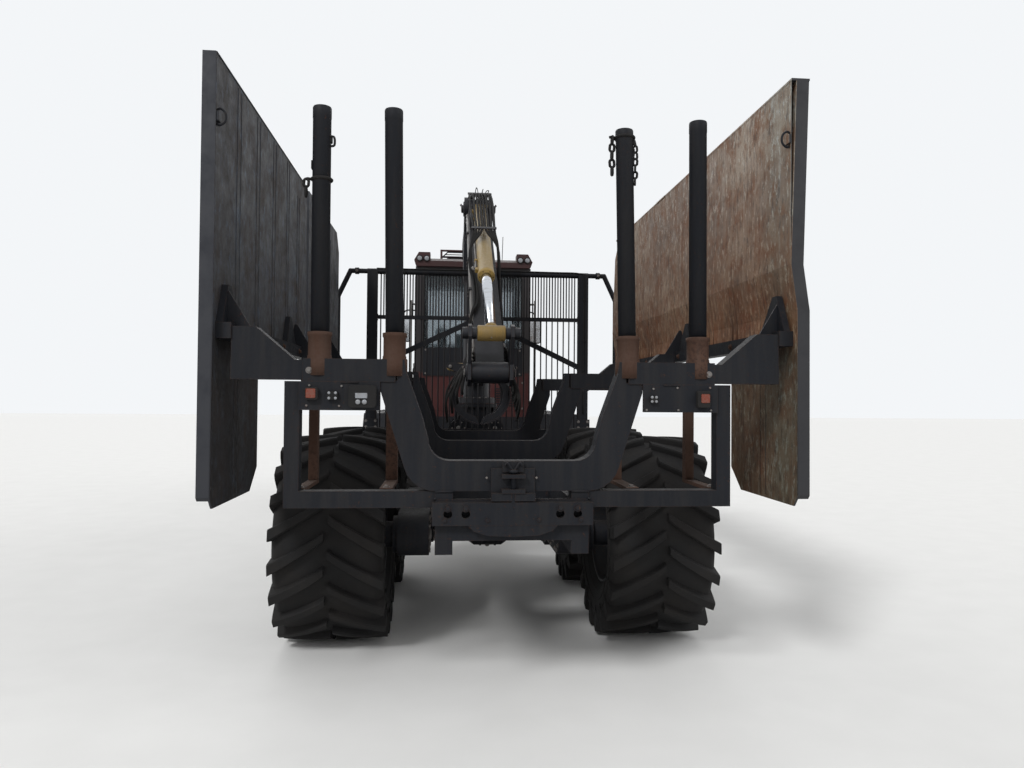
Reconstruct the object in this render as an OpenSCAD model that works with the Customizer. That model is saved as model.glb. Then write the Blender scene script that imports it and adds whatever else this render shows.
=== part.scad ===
// Forestry forwarder with steel side panels, an eight wheel bogie chassis and a folded loading crane.
// +Y is forward, +X is right, +Z is up, in millimetres. The origin is on the ground, in the middle
// of the machine's length and width. Lengths named "_at" are measured forward from the rear bunk.

/* [Machine] */
// Overall length, from the side panels' rear edge to the front guard
overall_l = 9900; // [9800:10:10100]
// Rear edge of the side panels behind the middle of the rear bunk
panel_overhang = 110; // [100:5:140]
// Rear bogie pivot from the rear bunk
rear_axle_at = 2230; // [2180:10:2280]
// Middle joint from the rear bunk
joint_at = 5500; // [5460:10:5560]
// Front bogie pivot from the rear bunk
front_axle_at = 7500; // [7460:10:7560]
// Headboard gate from the rear bunk
gate_at = 4220; // [4200:5:4235]
// Crane pillar's axis from the rear bunk
crane_at = 4850; // [4830:5:4880]
// Second bunk from the rear bunk
bunk2_at = 1800; // [1760:10:1810]
// Third bunk from the rear bunk
bunk3_at = 3470; // [3440:5:3480]

/* [Wheels] */
// Tyre radius to the lug tips
tyre_r = 700; // [680:5:705]
// Tyre width
tyre_w = 700; // [660:10:710]
// Height of a tyre lug
lug_h = 45; // [30:5:50]
// Lugs on each side of a tyre
lugs = 20; // [18:1:22]
// Middle of a wheel from the machine's centreline
wheel_x = 1075; // [1070:5:1100]
// Half the distance between a bogie's two wheels
bogie_half = 750; // [735:5:765]
// Rim radius at the bead
rim_r = 345; // [330:5:355]
// Wheel spindle radius
spindle_r = 90; // [80:2:95]
// Radial clearance of every running fit
fit = 0.05; // [0.03:0.01:0.08]

/* [Frames] */
// Top face of both frames
frame_top = 1150; // [1140:5:1160]
// Height of the frame rails
rail_h = 280; // [240:10:300]
// Half width over the rails
frame_half = 395; // [380:5:400]
// Plate thickness of the rails
rail_w = 90; // [60:10:110]
// Middle joint pin radius
joint_pin_r = 60; // [50:5:70]
// Distance of the steering cylinders from the centreline
steer_x = 340; // [320:5:350]
// Steering cylinder barrel radius
steer_r = 45; // [38:1:50]

/* [Load space] */
// Height of the load floor on the bunks
floor_z = 1346; // [1340:1:1350]
// Thickness of a bunk along the machine
bunk_t = 100; // [90:5:110]
// Stake radius
stake_r = 44; // [42:1:48]
// Inner stakes from the centreline
stake_in_x = 610; // [600:5:615]
// Outer stakes from the centreline
stake_out_x = 988; // [975:1:995]
// Stake top height
stake_top = 3150; // [3000:10:3200]
// Stake socket height
socket_h = 130; // [110:5:140]
// Inner face of the side panels
panel_in_x = 1489; // [1470:1:1495]
// Width of the panels' folded edge
panel_edge_w = 65; // [50:5:72]
// Sheet thickness of the side panels
panel_t = 10; // [8:1:12]
// Top edge of the side panels
panel_top = 3368; // [3300:5:3400]
// Lower edge of the side panels' long upper part
panel_mid = 2000; // [1985:5:2010]
// Bottom edge of the side panels' rear skirt
panel_low = 1110; // [1100:5:1140]
// Length of a rear side panel
panel_rear_l = 2410; // [2380:10:2440]
// Gap between rear and front side panel
panel_gap = 90; // [60:10:100]
// Front edge of the front side panels from the rear bunk
panel_front_at = 4110; // [4060:10:4120]
// Gate top height
gate_top = 3052; // [2980:5:3060]
// Gate half width over its posts
gate_half = 1200; // [1180:5:1210]
// Distance between two full height gate rods
rod_pitch = 62; // [58:1:70]
// Gate rod radius
rod_r = 7; // [5:0.5:9]

/* [Crane] */
// Boom foot pin height
boom_pin_z = 3820; // [3810:5:3835]
// Boom foot pin behind the pillar's axis
boom_pin_back = 250; // [240:5:260]
// Knuckle pin height
knuckle_z = 1870; // [1865:1:1880]
// Knuckle pin from the rear bunk
knuckle_at = 2060; // [2055:1:2070]
// Jib tip pin height
tip_z = 2600; // [2590:1:2605]
// Jib tip pin from the rear bunk
tip_at = 3730; // [3720:1:3735]
// Width of the main boom
boom_w = 230; // [210:5:240]
// Depth of the main boom
boom_h = 270; // [240:5:280]
// Depth of the jib
jib_h = 210; // [200:5:215]
// Width of the jib
jib_w = 170; // [160:5:176]
// Pillar radius
pillar_r = 150; // [140:2:155]
// Boom cylinder barrel radius
boom_barrel_r = 72; // [66:1:75]
// Boom cylinder rod radius
boom_rod_r = 44; // [38:1:46]
// Lift cylinder barrel radius
lift_barrel_r = 72; // [66:1:75]
// Lift cylinder rod radius
lift_rod_r = 42; // [38:1:46]
// Outer radius of the closed grapple
grapple_r = 300; // [290:5:305]
// Width of the grapple's jaws along its pivots
jaw_w = 360; // [330:10:370]

/* [Cab and bonnet] */
// Rear wall of the cab from the rear bunk
cab_at = 5960; // [5950:5:5980]
// Cab length at the floor
cab_l = 1500; // [1480:10:1520]
// Cab half width
cab_half = 760; // [740:5:770]
// Cab floor height
cab_floor = 1420; // [1410:5:1440]
// Underside of the cab roof
cab_ceiling = 3390; // [3350:5:3400]
// Cab wall thickness
cab_wall = 50; // [40:5:60]
// Roof thickness
roof_t = 120; // [100:5:140]
// Bonnet half width
bonnet_half = 660; // [640:5:680]
// Bonnet wall thickness
bonnet_wall = 25; // [20:5:35]
// Height of the bonnet at the cab
bonnet_rear_z = 2480; // [2400:10:2500]
// Height of the bonnet at its nose
bonnet_front_z = 2180; // [2100:10:2250]

/* [Hidden] */
$fn = 48;

// Colours
c_frame = [0.09, 0.10, 0.12];
c_body = [0.42, 0.07, 0.05];
c_rust = [0.42, 0.27, 0.18];
c_yellow = [0.82, 0.70, 0.36];
c_chrome = [0.80, 0.82, 0.85];
c_tyre = [0.05, 0.05, 0.05];
c_glass = [0.55, 0.65, 0.68, 0.4];

// Stations along the machine
bunk_y = panel_overhang - overall_l / 2;
front_y = overall_l / 2;
rear_axle_y = bunk_y + rear_axle_at;
front_axle_y = bunk_y + front_axle_at;
joint_y = bunk_y + joint_at;
gate_y = bunk_y + gate_at;
crane_y = bunk_y + crane_at;
cab_y = bunk_y + cab_at;
cab_front_y = cab_y + cab_l;
gap = 5;
seat_gap = 0.3;
slide_gap = 0.5;
wheel_in_x = wheel_x - tyre_w / 2;
pivot_z = tyre_r;

// Block between two opposite corners
module span(a, b) {
  translate(a) cube(b - a);
}

// Block mirrored to both sides
module both_sides() {
  children();
  mirror([1, 0, 0]) children();
}

// Outline in Y and Z, drawn out along X about x
module side_plate(points, w, x = 0) {
  translate([x - w / 2, 0, 0]) rotate([90, 0, 90]) linear_extrude(w) polygon(points);
}

// Outline in X and Z, drawn out along Y about y
module cross_plate(points, l, y = 0) {
  translate([0, y + l / 2, 0]) rotate([90, 0, 0]) linear_extrude(l) polygon(points);
}

// Outline in X and Y, drawn up from z
module flat_plate(points, h, z) {
  translate([0, 0, z]) linear_extrude(h) polygon(points);
}

// Round bar along X about its middle
module bar_x(p, r, l) {
  translate(p) rotate([0, 90, 0]) cylinder(h = l, r = r, center = true);
}

// Round bar along Y about its middle
module bar_y(p, r, l) {
  translate(p) rotate([90, 0, 0]) cylinder(h = l, r = r, center = true);
}

// Round bar between two points in one plane of constant x, points as [y, z]
module rod_between(a, b, r, x = 0) {
  d = b - a;
  translate([x, a[0], a[1]]) rotate([-atan2(d[0], d[1]), 0, 0]) cylinder(h = norm(d), r = r);
}

// Points of an arc from angle a0 to a1 in n steps
function arc(c, r, a0, a1, n) =
  [for (i = [0 : n]) c + r * [cos(a0 + (a1 - a0) * i / n), sin(a0 + (a1 - a0) * i / n)]];
function flip(points) = [for (i = [len(points) - 1 : -1 : 0]) [-points[i][0], points[i][1]]];
function unit(v) = v / norm(v);
function left_of(u) = [-u[1], u[0]];
function turned(v, a) = [v[0] * cos(a) - v[1] * sin(a), v[0] * sin(a) + v[1] * cos(a)];

// REAR FRAME
rail_low = frame_top - rail_h;
crane_seat_t = 40;

module frame_neck(y0, y1, dir) {
  // Narrow box that carries the joint ears, from y0 at the wide end to y1 at the ears
  flat_plate([[-frame_half, y0], [-170, y1], [170, y1], [frame_half, y0]], rail_h, rail_low);
}

joint_ear_r = 130;
ear_t = 55;
ear_reach = 190;
joint_low = 760;
outer_ear_z = [joint_low, frame_top - ear_t];
inner_ear_z = [joint_low + ear_t + gap, frame_top - 2 * ear_t - gap];

// Joint ear plate with its round end at the pin, root towards dir
module joint_ear(z, dir) {
  translate([0, joint_y, z]) cylinder(h = ear_t, r = joint_ear_r);
  span([-joint_ear_r, min(joint_y, joint_y + dir * (ear_reach + 1)), z],
       [joint_ear_r, max(joint_y, joint_y + dir * (ear_reach + 1)), z + ear_t]);
}

// Room in the frame for the thick middle of an axle
module axle_pocket(y) {
  bar_x([0, y, pivot_z], axle_mid_r + 10, 2 * axle_mid_x + 180);
}

module rear_chassis() {
  color(c_frame) difference() {
    union() {
      both_sides() span([frame_half - rail_w, bunk_y - 55, rail_low],
                        [frame_half, bunk_y + 4460, frame_top]);
      // Rear cross member and its drawbar plate
      span([-frame_half, bunk_y - 55, rail_low + 70], [frame_half, bunk_y - 15, frame_top]);
      span([-frame_half - 15, bunk_y - 100, 1024], [frame_half + 15, bunk_y - 54, 1140]);
      // Cross members
      for (s = [900, 1500, 2960, bunk3_at])
        span([-frame_half + 1, bunk_y + s - 50, rail_low + 30],
             [frame_half - 1, bunk_y + s + 50, frame_top - 20]);
      // Axle saddle and belly plate
      span([-frame_half, rear_axle_y - 260, rail_low], [frame_half, rear_axle_y + 260, frame_top - 20]);
      span([-frame_half + 1, bunk_y + 1500, rail_low], [frame_half - 1, bunk_y + 2960, rail_low + 12]);
      // Crane seat and neck
      span([-frame_half, bunk_y + 4400, rail_low], [frame_half, bunk_y + 5060, frame_top]);
      frame_neck(bunk_y + 5059, joint_y - ear_reach, 1);
      span([-170, joint_y - ear_reach - 120, joint_low], [170, joint_y - ear_reach, frame_top]);
      for (z = outer_ear_z) joint_ear(z, -1);
      // Steering cylinder brackets
      both_sides() {
        span([steer_x - 50, steer_rear_y - 75, rail_low - 111], [steer_x + 50, steer_rear_y - 55, rail_low + 1]);
        for (z = [rail_low - 111, rail_low - 25])
          span([steer_x - 50, steer_rear_y - 75, z], [steer_x + 50, steer_rear_y + 30, z + 26]);
        translate([steer_x, steer_rear_y, rail_low - 111]) cylinder(h = 111, r = 20);
      }
    }
    // Joint pin bore
    translate([0, joint_y, joint_low - 1]) cylinder(h = frame_top - joint_low + 2, r = joint_pin_r + fit);
    // Holes of the drawbar plate
    for (x = [-330, -240, 240, 330]) bar_y([x, bunk_y - 77, 1082], 22, 60);
    axle_pocket(rear_axle_y);
    // Crane spigot bore
    translate([0, crane_y, frame_top - 80]) cylinder(h = 100, r = 160);
  }
  tow_hitch();
}

// Drawbar jaw below the rear bunk
hitch_z = 1228;
module tow_hitch() {
  // Rounded skid below the drawbar plate
  color(c_frame) cross_plate([[-230, 1026], [-200, 995], [-130, 972], [0, 966], [130, 972], [200, 995], [230, 1026]],
    40, bunk_y - 78);
  color(c_frame) difference() {
    union() {
      span([-112, bunk_y - 100, 1146], [112, bunk_y - 50, 1186]);
      span([-112, bunk_y - 66, 1146], [112, bunk_y - 50.3, 1310]);
      span([-60, bunk_y - 108, 1186], [60, bunk_y - 66, 1206]);
      span([-60, bunk_y - 108, 1262], [60, bunk_y - 66, 1282]);
    }
    translate([0, bunk_y - 88, 1140]) cylinder(h = 160, r = 14);
  }
}

// Axle beam with its two bogie gear cases and wheel spindles, as revolved and drawn out forms
case_in_x = 455;
case_w = 220;
case_r = 150;
axle_r = 120;
axle_mid_r = 225;
axle_mid_x = 110;
spindle_l = 330;
module bogie_axle(y) {
  color(c_frame) {
    translate([0, y, pivot_z]) rotate([0, 90, 0]) rotate_extrude($fn = 64)
      polygon([[0, -case_in_x - 1], [axle_r + 30, -case_in_x - 1], [axle_r, -case_in_x + 60],
        [axle_r, -260], [axle_mid_r, -axle_mid_x], [axle_mid_r, axle_mid_x], [axle_r, 260], [axle_r, case_in_x - 60],
        [axle_r + 30, case_in_x + 1], [0, case_in_x + 1]]);
    // Saddle under the frame
    both_sides() side_plate([[y - 230, rail_low], [y - 150, pivot_z - 40], [y + 150, pivot_z - 40],
      [y + 230, rail_low]], 80, 300);
    both_sides() difference() {
      union() {
        side_plate([[y - bogie_half, pivot_z - case_r], [y - 230, pivot_z - case_r],
          [y - 130, pivot_z - case_r - 60], [y + 130, pivot_z - case_r - 60], [y + 230, pivot_z - case_r],
          [y + bogie_half, pivot_z - case_r], [y + bogie_half, pivot_z + case_r],
          [y + 230, pivot_z + case_r], [y, pivot_z + case_r + 10], [y - 230, pivot_z + case_r],
          [y - bogie_half, pivot_z + case_r]], case_w, case_in_x + case_w / 2);
        for (k = [-1, 1]) {
          bar_x([case_in_x + case_w / 2, y + k * bogie_half, pivot_z], case_r, case_w);
          bar_x([case_in_x + case_w + 15, y + k * bogie_half, pivot_z], 130, 32);
          bar_x([case_in_x + case_w + spindle_l / 2, y + k * bogie_half, pivot_z], spindle_r, spindle_l);
        }
      }
    }
  }
}
module rear_axle() bogie_axle(rear_axle_y);

// BUNKS AND STAKES
bunk_low = 1192;
arm_z = [1745, 1860];
arm_out_x = 1062;
bunk_half_pts = concat([[0, bunk_low]], arc([395, bunk_low + 165], 165, -90, -15, 5), [[676, 1700], [676, arm_z[1]],
  [556, arm_z[1]], [548, 1800], [464, 1567]], arc([325, floor_z + 109], 109, 0, -90, 6), [[0, floor_z]]);
bunk_pts = concat(bunk_half_pts, flip(bunk_half_pts));

module bunk(y) {
  color(c_frame) {
    difference() {
      cross_plate(bunk_pts, bunk_t, y);
      both_sides() span([590, y - 60, arm_z[0] + 7], [arm_out_x + 1, y + 60, arm_z[1] + 1]);
    }
    both_sides() difference() {
      span([600, y - 57, arm_z[0]], [arm_out_x, y + 57, arm_z[1]]);
      span([590, y - 50 - slide_gap, arm_z[0] + 7], [arm_out_x + 1, y + 50 + slide_gap, arm_z[1] - 7]);
    }
    // Feet down to the frame
    both_sides() span([frame_half - rail_w, y - bunk_t / 2, frame_top], [frame_half, y + bunk_t / 2, bunk_low + 1]);
  }
}

module stake_socket(x, y) {
  translate([x, y, arm_z[1]]) difference() {
    cylinder(h = socket_h, r = stake_r + 12);
    translate([0, 0, 20]) cylinder(h = socket_h, r = stake_r);
  }
}

module rear_bunk() {
  bunk(bunk_y);
  color(c_frame) both_sides() for (x = [stake_in_x, stake_out_x]) stake_socket(x, bunk_y);
}

module mid_bunks() {
  bunk(bunk_y + bunk2_at);
  bunk(bunk_y + bunk3_at);
}

// Stakes as [x, height below the highest]
stake_rows = [[-stake_out_x, 0], [-stake_in_x, 0], [stake_in_x, 45], [stake_out_x, 5]];
chain_link_l = 56;
chain_wire = 8;
chain_out = 78;

// Welded link in the plane of X and Z, hung from z by its upper end
module chain_link(z, turn) {
  r = 2 * chain_wire;
  half = chain_link_l / 2 - r;
  translate([0, 0, z - chain_link_l / 2]) rotate([90, 0, turn]) linear_extrude(2 * chain_wire, center = true)
    difference() {
      union() {
        for (k = [-1, 1]) translate([0, k * half]) circle(r = r);
        square([2 * r, 2 * half], center = true);
      }
      for (k = [-1, 1]) translate([0, k * half]) circle(r = r - chain_wire);
      square([2 * (r - chain_wire), 2 * half], center = true);
    }
}

// Collar on a stake with a chain of n links hung from its left side
module stake_chain(x, z, n) {
  translate([x, bunk_y, z]) cylinder(h = 14, r = stake_r + 9);
  span([x - chain_out - 10, bunk_y - 8, z], [x, bunk_y + 8, z + 14]);
  translate([x - chain_out, bunk_y, 0]) for (i = [0 : n - 1])
    chain_link(z + 12 - i * (chain_link_l - 1.5 * chain_wire), 90 * (i % 2));
}
module stakes() {
  color(c_frame) {
    for (s = stake_rows) translate([s[0], bunk_y, arm_z[1] + 20]) {
      cylinder(h = stake_top - s[1] - arm_z[1] - 20, r = stake_r);
      translate([0, 0, stake_top - s[1] - arm_z[1] - 60]) cylinder(h = 42, r = stake_r + 3);
    }
    stake_chain(stake_in_x, stake_top - 96, 5);
    stake_chain(-stake_out_x, stake_top - 380, 2);
  }
}

// SIDE PANELS
panel_rear_y = bunk_y - panel_overhang;
panel_split_y = panel_rear_y + panel_rear_l;
panel_front_y = bunk_y + panel_front_at;
skirt_l = 910;
knee_z = 2380;
knee_in = 34;
rib_w = 70;
rib_h = 14;

// Side outlines: rear panel with its skirt, and front panel
rear_outline = [[panel_rear_y, panel_low + 60], [panel_rear_y + 50, panel_low], [panel_rear_y + skirt_l - 160, panel_low],
  [panel_rear_y + skirt_l, panel_low + 130], [panel_rear_y + skirt_l, panel_mid], [panel_split_y - 60, panel_mid],
  [panel_split_y, panel_mid + 60], [panel_split_y, panel_top - 160], [panel_split_y - 90, panel_top],
  [panel_rear_y, panel_top]];
front_outline = [[panel_split_y + panel_gap, panel_mid], [panel_front_y - 60, panel_mid],
  [panel_front_y, panel_mid + 60], [panel_front_y, panel_top - 180], [panel_front_y - 160, panel_top],
  [panel_split_y + panel_gap, panel_top]];

// Cross section of the sheet on the right side; knee is how far the crease is pushed in
function sheet_section(x, t, knee) = [[x, panel_low], [x + t, panel_low], [x + t, knee_z - 240],
  [x + t - knee, knee_z], [x + t - knee * 0.1, panel_top], [x - knee * 0.1, panel_top],
  [x - knee, knee_z], [x, knee_z - 240]];

module panel(knee) {
  rib_at = [for (s = [430, 850, 1270, 1690, 2060, 2830, 3220, 3600]) panel_rear_y + s];
  color(c_rust) {
    for (o = [rear_outline, front_outline]) intersection() {
      side_plate(o, 2 * panel_edge_w + 100, panel_in_x);
      union() {
        cross_plate(sheet_section(panel_in_x, panel_t, knee), overall_l, 0);
        // Pressed ribs on the outer side
        for (y = rib_at) cross_plate(sheet_section(panel_in_x + 2, panel_t + rib_h, knee), rib_w, y);
        // Folded edges
        cross_plate(sheet_section(panel_in_x, panel_edge_w, knee), 16, panel_rear_y + 8);
        cross_plate(sheet_section(panel_in_x, panel_edge_w, knee), 12, panel_split_y - 6);
        cross_plate(sheet_section(panel_in_x, panel_edge_w, knee), 12, panel_split_y + panel_gap + 6);
        cross_plate(sheet_section(panel_in_x, panel_edge_w, knee), 12, panel_front_y - 6);
        span([panel_in_x - knee, -overall_l / 2, panel_top - 12], [panel_in_x + panel_edge_w, overall_l / 2, panel_top]);
      }
    }
  }
}
module panel_right() panel(knee_in);
module panel_left() mirror([1, 0, 0]) panel(0);

// Telescopic arms and long rail that carry one panel, on the right
rail_z = [1955, 2035];
arm_in_x = 600;
module arms(knee) {
  color(c_frame) {
    for (s = [0, bunk2_at, bunk3_at]) {
      y = bunk_y + s;
      span([arm_in_x, y - 50, arm_z[0] + 7 + slide_gap], [1415, y + 50, arm_z[1] - 7 - slide_gap]);
      cross_plate([[1100, arm_z[1] - 10], [1296, 2017], [1413, 2017], [1413, 1764], [1100, 1764]], 100, y);
    }
    span([1412, bunk_y - 60, rail_z[0]], [panel_in_x, panel_front_y - 160, rail_z[1]]);
    // Corner plates that stand on the rail inside the sheet
    for (s = [0, 1500, bunk3_at - 300])
      side_plate([[bunk_y + s - 55, rail_z[1] - 1], [bunk_y + s + 255, rail_z[1] - 1],
        [bunk_y + s + 90, rail_z[1] + 200], [bunk_y + s + 40, rail_z[1] + 200]], 34, panel_in_x - knee * 0.42 - 17.5);
  }
}
module arms_right() arms(knee_in);
module arms_left() mirror([1, 0, 0]) arms(0);

// REAR LIGHT FRAME
beam_x = 1153;
beam_z = [1107, 1192];
upright_top = 1780;
lamp_plate_z = [1600, 1742];
module light_frame() {
  color(c_frame) {
    both_sides() {
      span([frame_half, bunk_y - 40, beam_z[0]], [beam_x, bunk_y + 40, beam_z[1]]);
      span([beam_x - 75, bunk_y - 40, beam_z[0]], [beam_x, bunk_y + 40, arm_z[0]]);
      // Posts and flat bars ahead of the lower beam
      for (x = [[1066, 1112], [620, 680]]) {
        span([x[0], bunk_y + 39, beam_z[1] - 12], [x[1], bunk_y + 480, beam_z[1] + 2]);
        span([x[0], bunk_y + 430, beam_z[1] - 12], [x[1], bunk_y + 480, arm_z[0] - 1]);
        span([x[0], bunk_y + 57, arm_z[0] - 22], [x[1], bunk_y + 480, arm_z[0] - 1]);
      }
      // Lamp plate hung from the bunk's arm
      span([677, bunk_y - 57, lamp_plate_z[0]], [1078.5, bunk_y - 49, arm_z[0] - seat_gap]);
      span([677, bunk_y - 50, arm_z[0] - 30], [1078.5, bunk_y - 30, arm_z[0] - seat_gap]);
    }
  }
}

// Lamps as [x from, x to, z from, z to, depth]
lamp_rows = [[-831, -692, 1613, 1727, 44], [-938, -884, 1652, 1696, 26], [-1045, -981, 1651, 1715, 32],
  [713, 750, 1649, 1685, 26], [961, 1031, 1625, 1713, 32]];
module rear_lamps() {
  color([0.75, 0.35, 0.15]) for (l = lamp_rows)
    span([l[0], bunk_y - 57 - l[4], l[2]], [l[1], bunk_y - 57, l[3]]);
}

// GATE
post_w = 110;
gate_low = 1330;
mid_bar_z = 2530;
module gate() {
  color(c_frame) {
    both_sides() {
      span([gate_half - post_w, gate_y - 35, bunk_low + 1], [gate_half, gate_y + 35, gate_top - 20]);
      // Brace from the middle of the mid bar to the post's foot
      cross_plate([[0, mid_bar_z - 20], [0, mid_bar_z + 20], [gate_half - post_w + 5, 2030],
        [gate_half - post_w + 5, 1990]], 40, gate_y);
      // Wing tube that bends down outside the post
      bar_x([gate_half + 90, gate_y, gate_top - 30], 26, 200);
      translate([1380, gate_y, gate_top - 30]) rotate([0, 155, 0]) cylinder(h = 300, r = 26);
      translate([1380, gate_y, gate_top - 30]) sphere(r = 27);
      translate([1507, gate_y, 1900]) cylinder(h = gate_top - 302 - 1900, r = 25);
      translate([1507, gate_y, gate_top - 302]) sphere(r = 27);
      translate([1507, gate_y, 1900]) sphere(r = 27);
      bar_x([(gate_half + 1507) / 2, gate_y, 1900], 26, 1507 - gate_half + 2);
    }
    span([-gate_half, gate_y - 35, bunk_low], [gate_half, gate_y + 35, gate_low]);
    bar_x([0, gate_y, gate_top - 30], 30, 2 * gate_half);
    span([-gate_half + 10, gate_y - 20, mid_bar_z - 20], [gate_half - 10, gate_y + 20, mid_bar_z + 20]);
    rods = floor((gate_half - post_w) / rod_pitch);
    for (i = [-rods : rods]) translate([i * rod_pitch, gate_y, gate_low - 5])
      cylinder(h = gate_top - 30 - gate_low, r = rod_r, $fn = 8);
    for (i = [-rods : rods - 1]) translate([(i + 0.5) * rod_pitch, gate_y, mid_bar_z])
      cylinder(h = gate_top - 35 - mid_bar_z, r = rod_r, $fn = 8);
    // Feet on the frame
    both_sides() span([frame_half - rail_w, gate_y - 35, frame_top], [frame_half, gate_y + 35, bunk_low + 1]);
  }
}

// CRANE BASE
base_top = 1600;
module crane_base() {
  color(c_frame) difference() {
    union() {
      translate([0, crane_y, frame_top]) cylinder(h = 40, r = 330);
      translate([0, crane_y, frame_top]) cylinder(h = base_top - frame_top, r = 215);
      translate([0, crane_y, base_top - 40]) cylinder(h = 40, r = 245);
      // Slewing cylinders on both sides
      both_sides() bar_y([205, crane_y, 1330], 82, 660);
      both_sides() for (k = [-1, 1]) bar_y([205, crane_y + k * 330, 1330], 95, 40);
    }
    translate([0, crane_y, base_top - 260]) cylinder(h = 262, r = 120 + fit);
  }
}

// FRONT FRAME
front_low = rail_low;
module front_chassis() {
  color(c_frame) {
    both_sides() span([frame_half - rail_w, joint_y + 560, front_low], [frame_half, front_y - 190, frame_top]);
    span([-frame_half, joint_y + 560, front_low], [frame_half, joint_y + 640, frame_top]);
    flat_plate([[-170, joint_y + ear_reach], [-frame_half, joint_y + 561], [frame_half, joint_y + 561],
      [170, joint_y + ear_reach]], rail_h, rail_low);
    span([-170, joint_y + ear_reach, joint_low + ear_t + gap], [170, joint_y + ear_reach + 120, frame_top - ear_t - gap]);
    for (z = inner_ear_z) joint_ear(z, 1);
    translate([0, joint_y, joint_low - 30]) cylinder(h = frame_top + 60 - joint_low, r = joint_pin_r);
    // Axle saddle, engine bearers and nose plate
    difference() {
      span([-frame_half, front_axle_y - 260, front_low], [frame_half, front_axle_y + 260, frame_top - 20]);
      axle_pocket(front_axle_y);
    }
    span([-frame_half, front_y - 230, front_low], [frame_half, front_y - 190, frame_top + 100]);
    for (y = [engine_y[0] + 250, engine_y[1] - 150]) span([-frame_half + 1, y - 40, front_low + 30],
      [frame_half - 1, y + 40, frame_top]);
    bonnet_lugs();
    // Deck plates under cab and bonnet
    span([-700, cab_y, frame_top - 1], [700, cab_y + 90, cab_floor - seat_gap]);
    span([-640, cab_front_y - 130, frame_top - 1], [640, cab_front_y - 40, cab_floor - seat_gap]);
    span([-bonnet_half + 40, front_y - 290, frame_top - 1], [bonnet_half - 40, front_y - 190, frame_top + 100]);
    // Steering lugs under the rod eyes
    both_sides() span([steer_x - 190, joint_y + 60, rail_low - 115], [steer_x + 50, joint_y + 180, rail_low - 85]);
    both_sides() span([steer_x - 190, joint_y + 60, rail_low - 115], [steer_x - 150, joint_y + 420, rail_low + 1]);
  }
}
module front_axle() bogie_axle(front_axle_y);

// STEERING CYLINDERS
steer_rear_y = joint_y - 780;
steer_eye_y = joint_y + 120;
steer_z = rail_low - 55;
steer_gland_y = steer_rear_y + 560;
steer_bore_y = steer_rear_y + 60;
steer_piston_y = steer_rear_y + 290;
module steer_barrel(side) {
  color(c_yellow) difference() {
    union() {
      bar_y([side * steer_x, (steer_rear_y + 52 + steer_gland_y) / 2, steer_z], steer_r, steer_gland_y - steer_rear_y - 52);
      bar_y([side * steer_x, steer_rear_y + 40, steer_z], 24, 60);
      translate([side * steer_x, steer_rear_y, steer_z - 25]) cylinder(h = 50, r = 42);
      bar_y([side * steer_x, steer_gland_y - 20, steer_z], steer_r + 5, 40);
    }
    bar_y([side * steer_x, (steer_bore_y + steer_gland_y + 20) / 2, steer_z], 25 + fit, steer_gland_y + 20 - steer_bore_y);
    translate([side * steer_x, steer_rear_y, steer_z - 40]) cylinder(h = 80, r = 20 + fit);
  }
}
module steer_rod(side) {
  color(c_chrome) {
    bar_y([side * steer_x, (steer_piston_y + steer_eye_y) / 2, steer_z], 25, steer_eye_y - steer_piston_y);
    translate([side * steer_x, steer_eye_y, steer_z - 27 + 5]) cylinder(h = 50, r = 42);
  }
}
module steer_barrel_left() steer_barrel(-1);
module steer_barrel_right() steer_barrel(1);
module steer_rod_left() steer_rod(-1);
module steer_rod_right() steer_rod(1);

// WHEELS
base_r = tyre_r - lug_h;
lug_lead = 105;
lug_foot = base_r - 100;
lug_top = sqrt(tyre_r * tyre_r - lug_lead * lug_lead);

// One lug of the side s: slanted from the middle of the tread out to the shoulder
module lug(s) {
  hw = tyre_w / 2;
  translate([0, 0, lug_foot]) linear_extrude(lug_top - lug_foot) polygon([[s * 12, lug_lead], [s * 12, lug_lead - 50],
    [s * hw * 0.5, -28], [s * hw, -lug_lead], [s * hw, -35], [s * hw * 0.5, 34]]);
}

module wheel(side, y) {
  hw = tyre_w / 2;
  translate([side * wheel_x, y, pivot_z]) mirror([side < 0 ? 1 : 0, 0, 0]) color(c_tyre) difference() {
    union() {
      rotate([0, 90, 0]) rotate_extrude($fn = 72) polygon([
        [rim_r - 25, -hw + 60], [rim_r + 15, -hw + 45], [rim_r + 60, -hw + 12], [tyre_r - 220, -hw + 8],
        [base_r - 60, -hw + 12], [base_r - 10, -hw * 0.88], [base_r, -hw * 0.72],
        [base_r, hw * 0.72], [base_r - 10, hw * 0.88], [base_r - 60, hw - 12],
        [tyre_r - 220, hw - 8], [rim_r + 60, hw - 12], [rim_r + 15, hw - 45], [rim_r - 25, hw - 60],
        [rim_r - 45, hw - 90], [rim_r - 60, 60], [180, 20], [150, 60], [130, 90], [0, 90],
        [0, -130], [150, -130], [190, -40], [rim_r - 60, -10], [rim_r - 50, -hw + 80]]);
      for (i = [0 : lugs - 1]) {
        rotate([i * 360 / lugs, 0, 0]) lug(-1);
        rotate([(i + 0.5) * 360 / lugs, 0, 0]) lug(1);
      }
    }
    // Spindle bore
    rotate([0, 90, 0]) translate([0, 0, -300]) cylinder(h = case_in_x + case_w + spindle_l + gap - wheel_x + 300, r = spindle_r + fit);
  }
}
module wheel_rear_l1() wheel(-1, rear_axle_y - bogie_half);
module wheel_rear_l2() wheel(-1, rear_axle_y + bogie_half);
module wheel_rear_r1() wheel(1, rear_axle_y - bogie_half);
module wheel_rear_r2() wheel(1, rear_axle_y + bogie_half);
module wheel_front_l1() wheel(-1, front_axle_y - bogie_half);
module wheel_front_l2() wheel(-1, front_axle_y + bogie_half);
module wheel_front_r1() wheel(1, front_axle_y - bogie_half);
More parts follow.
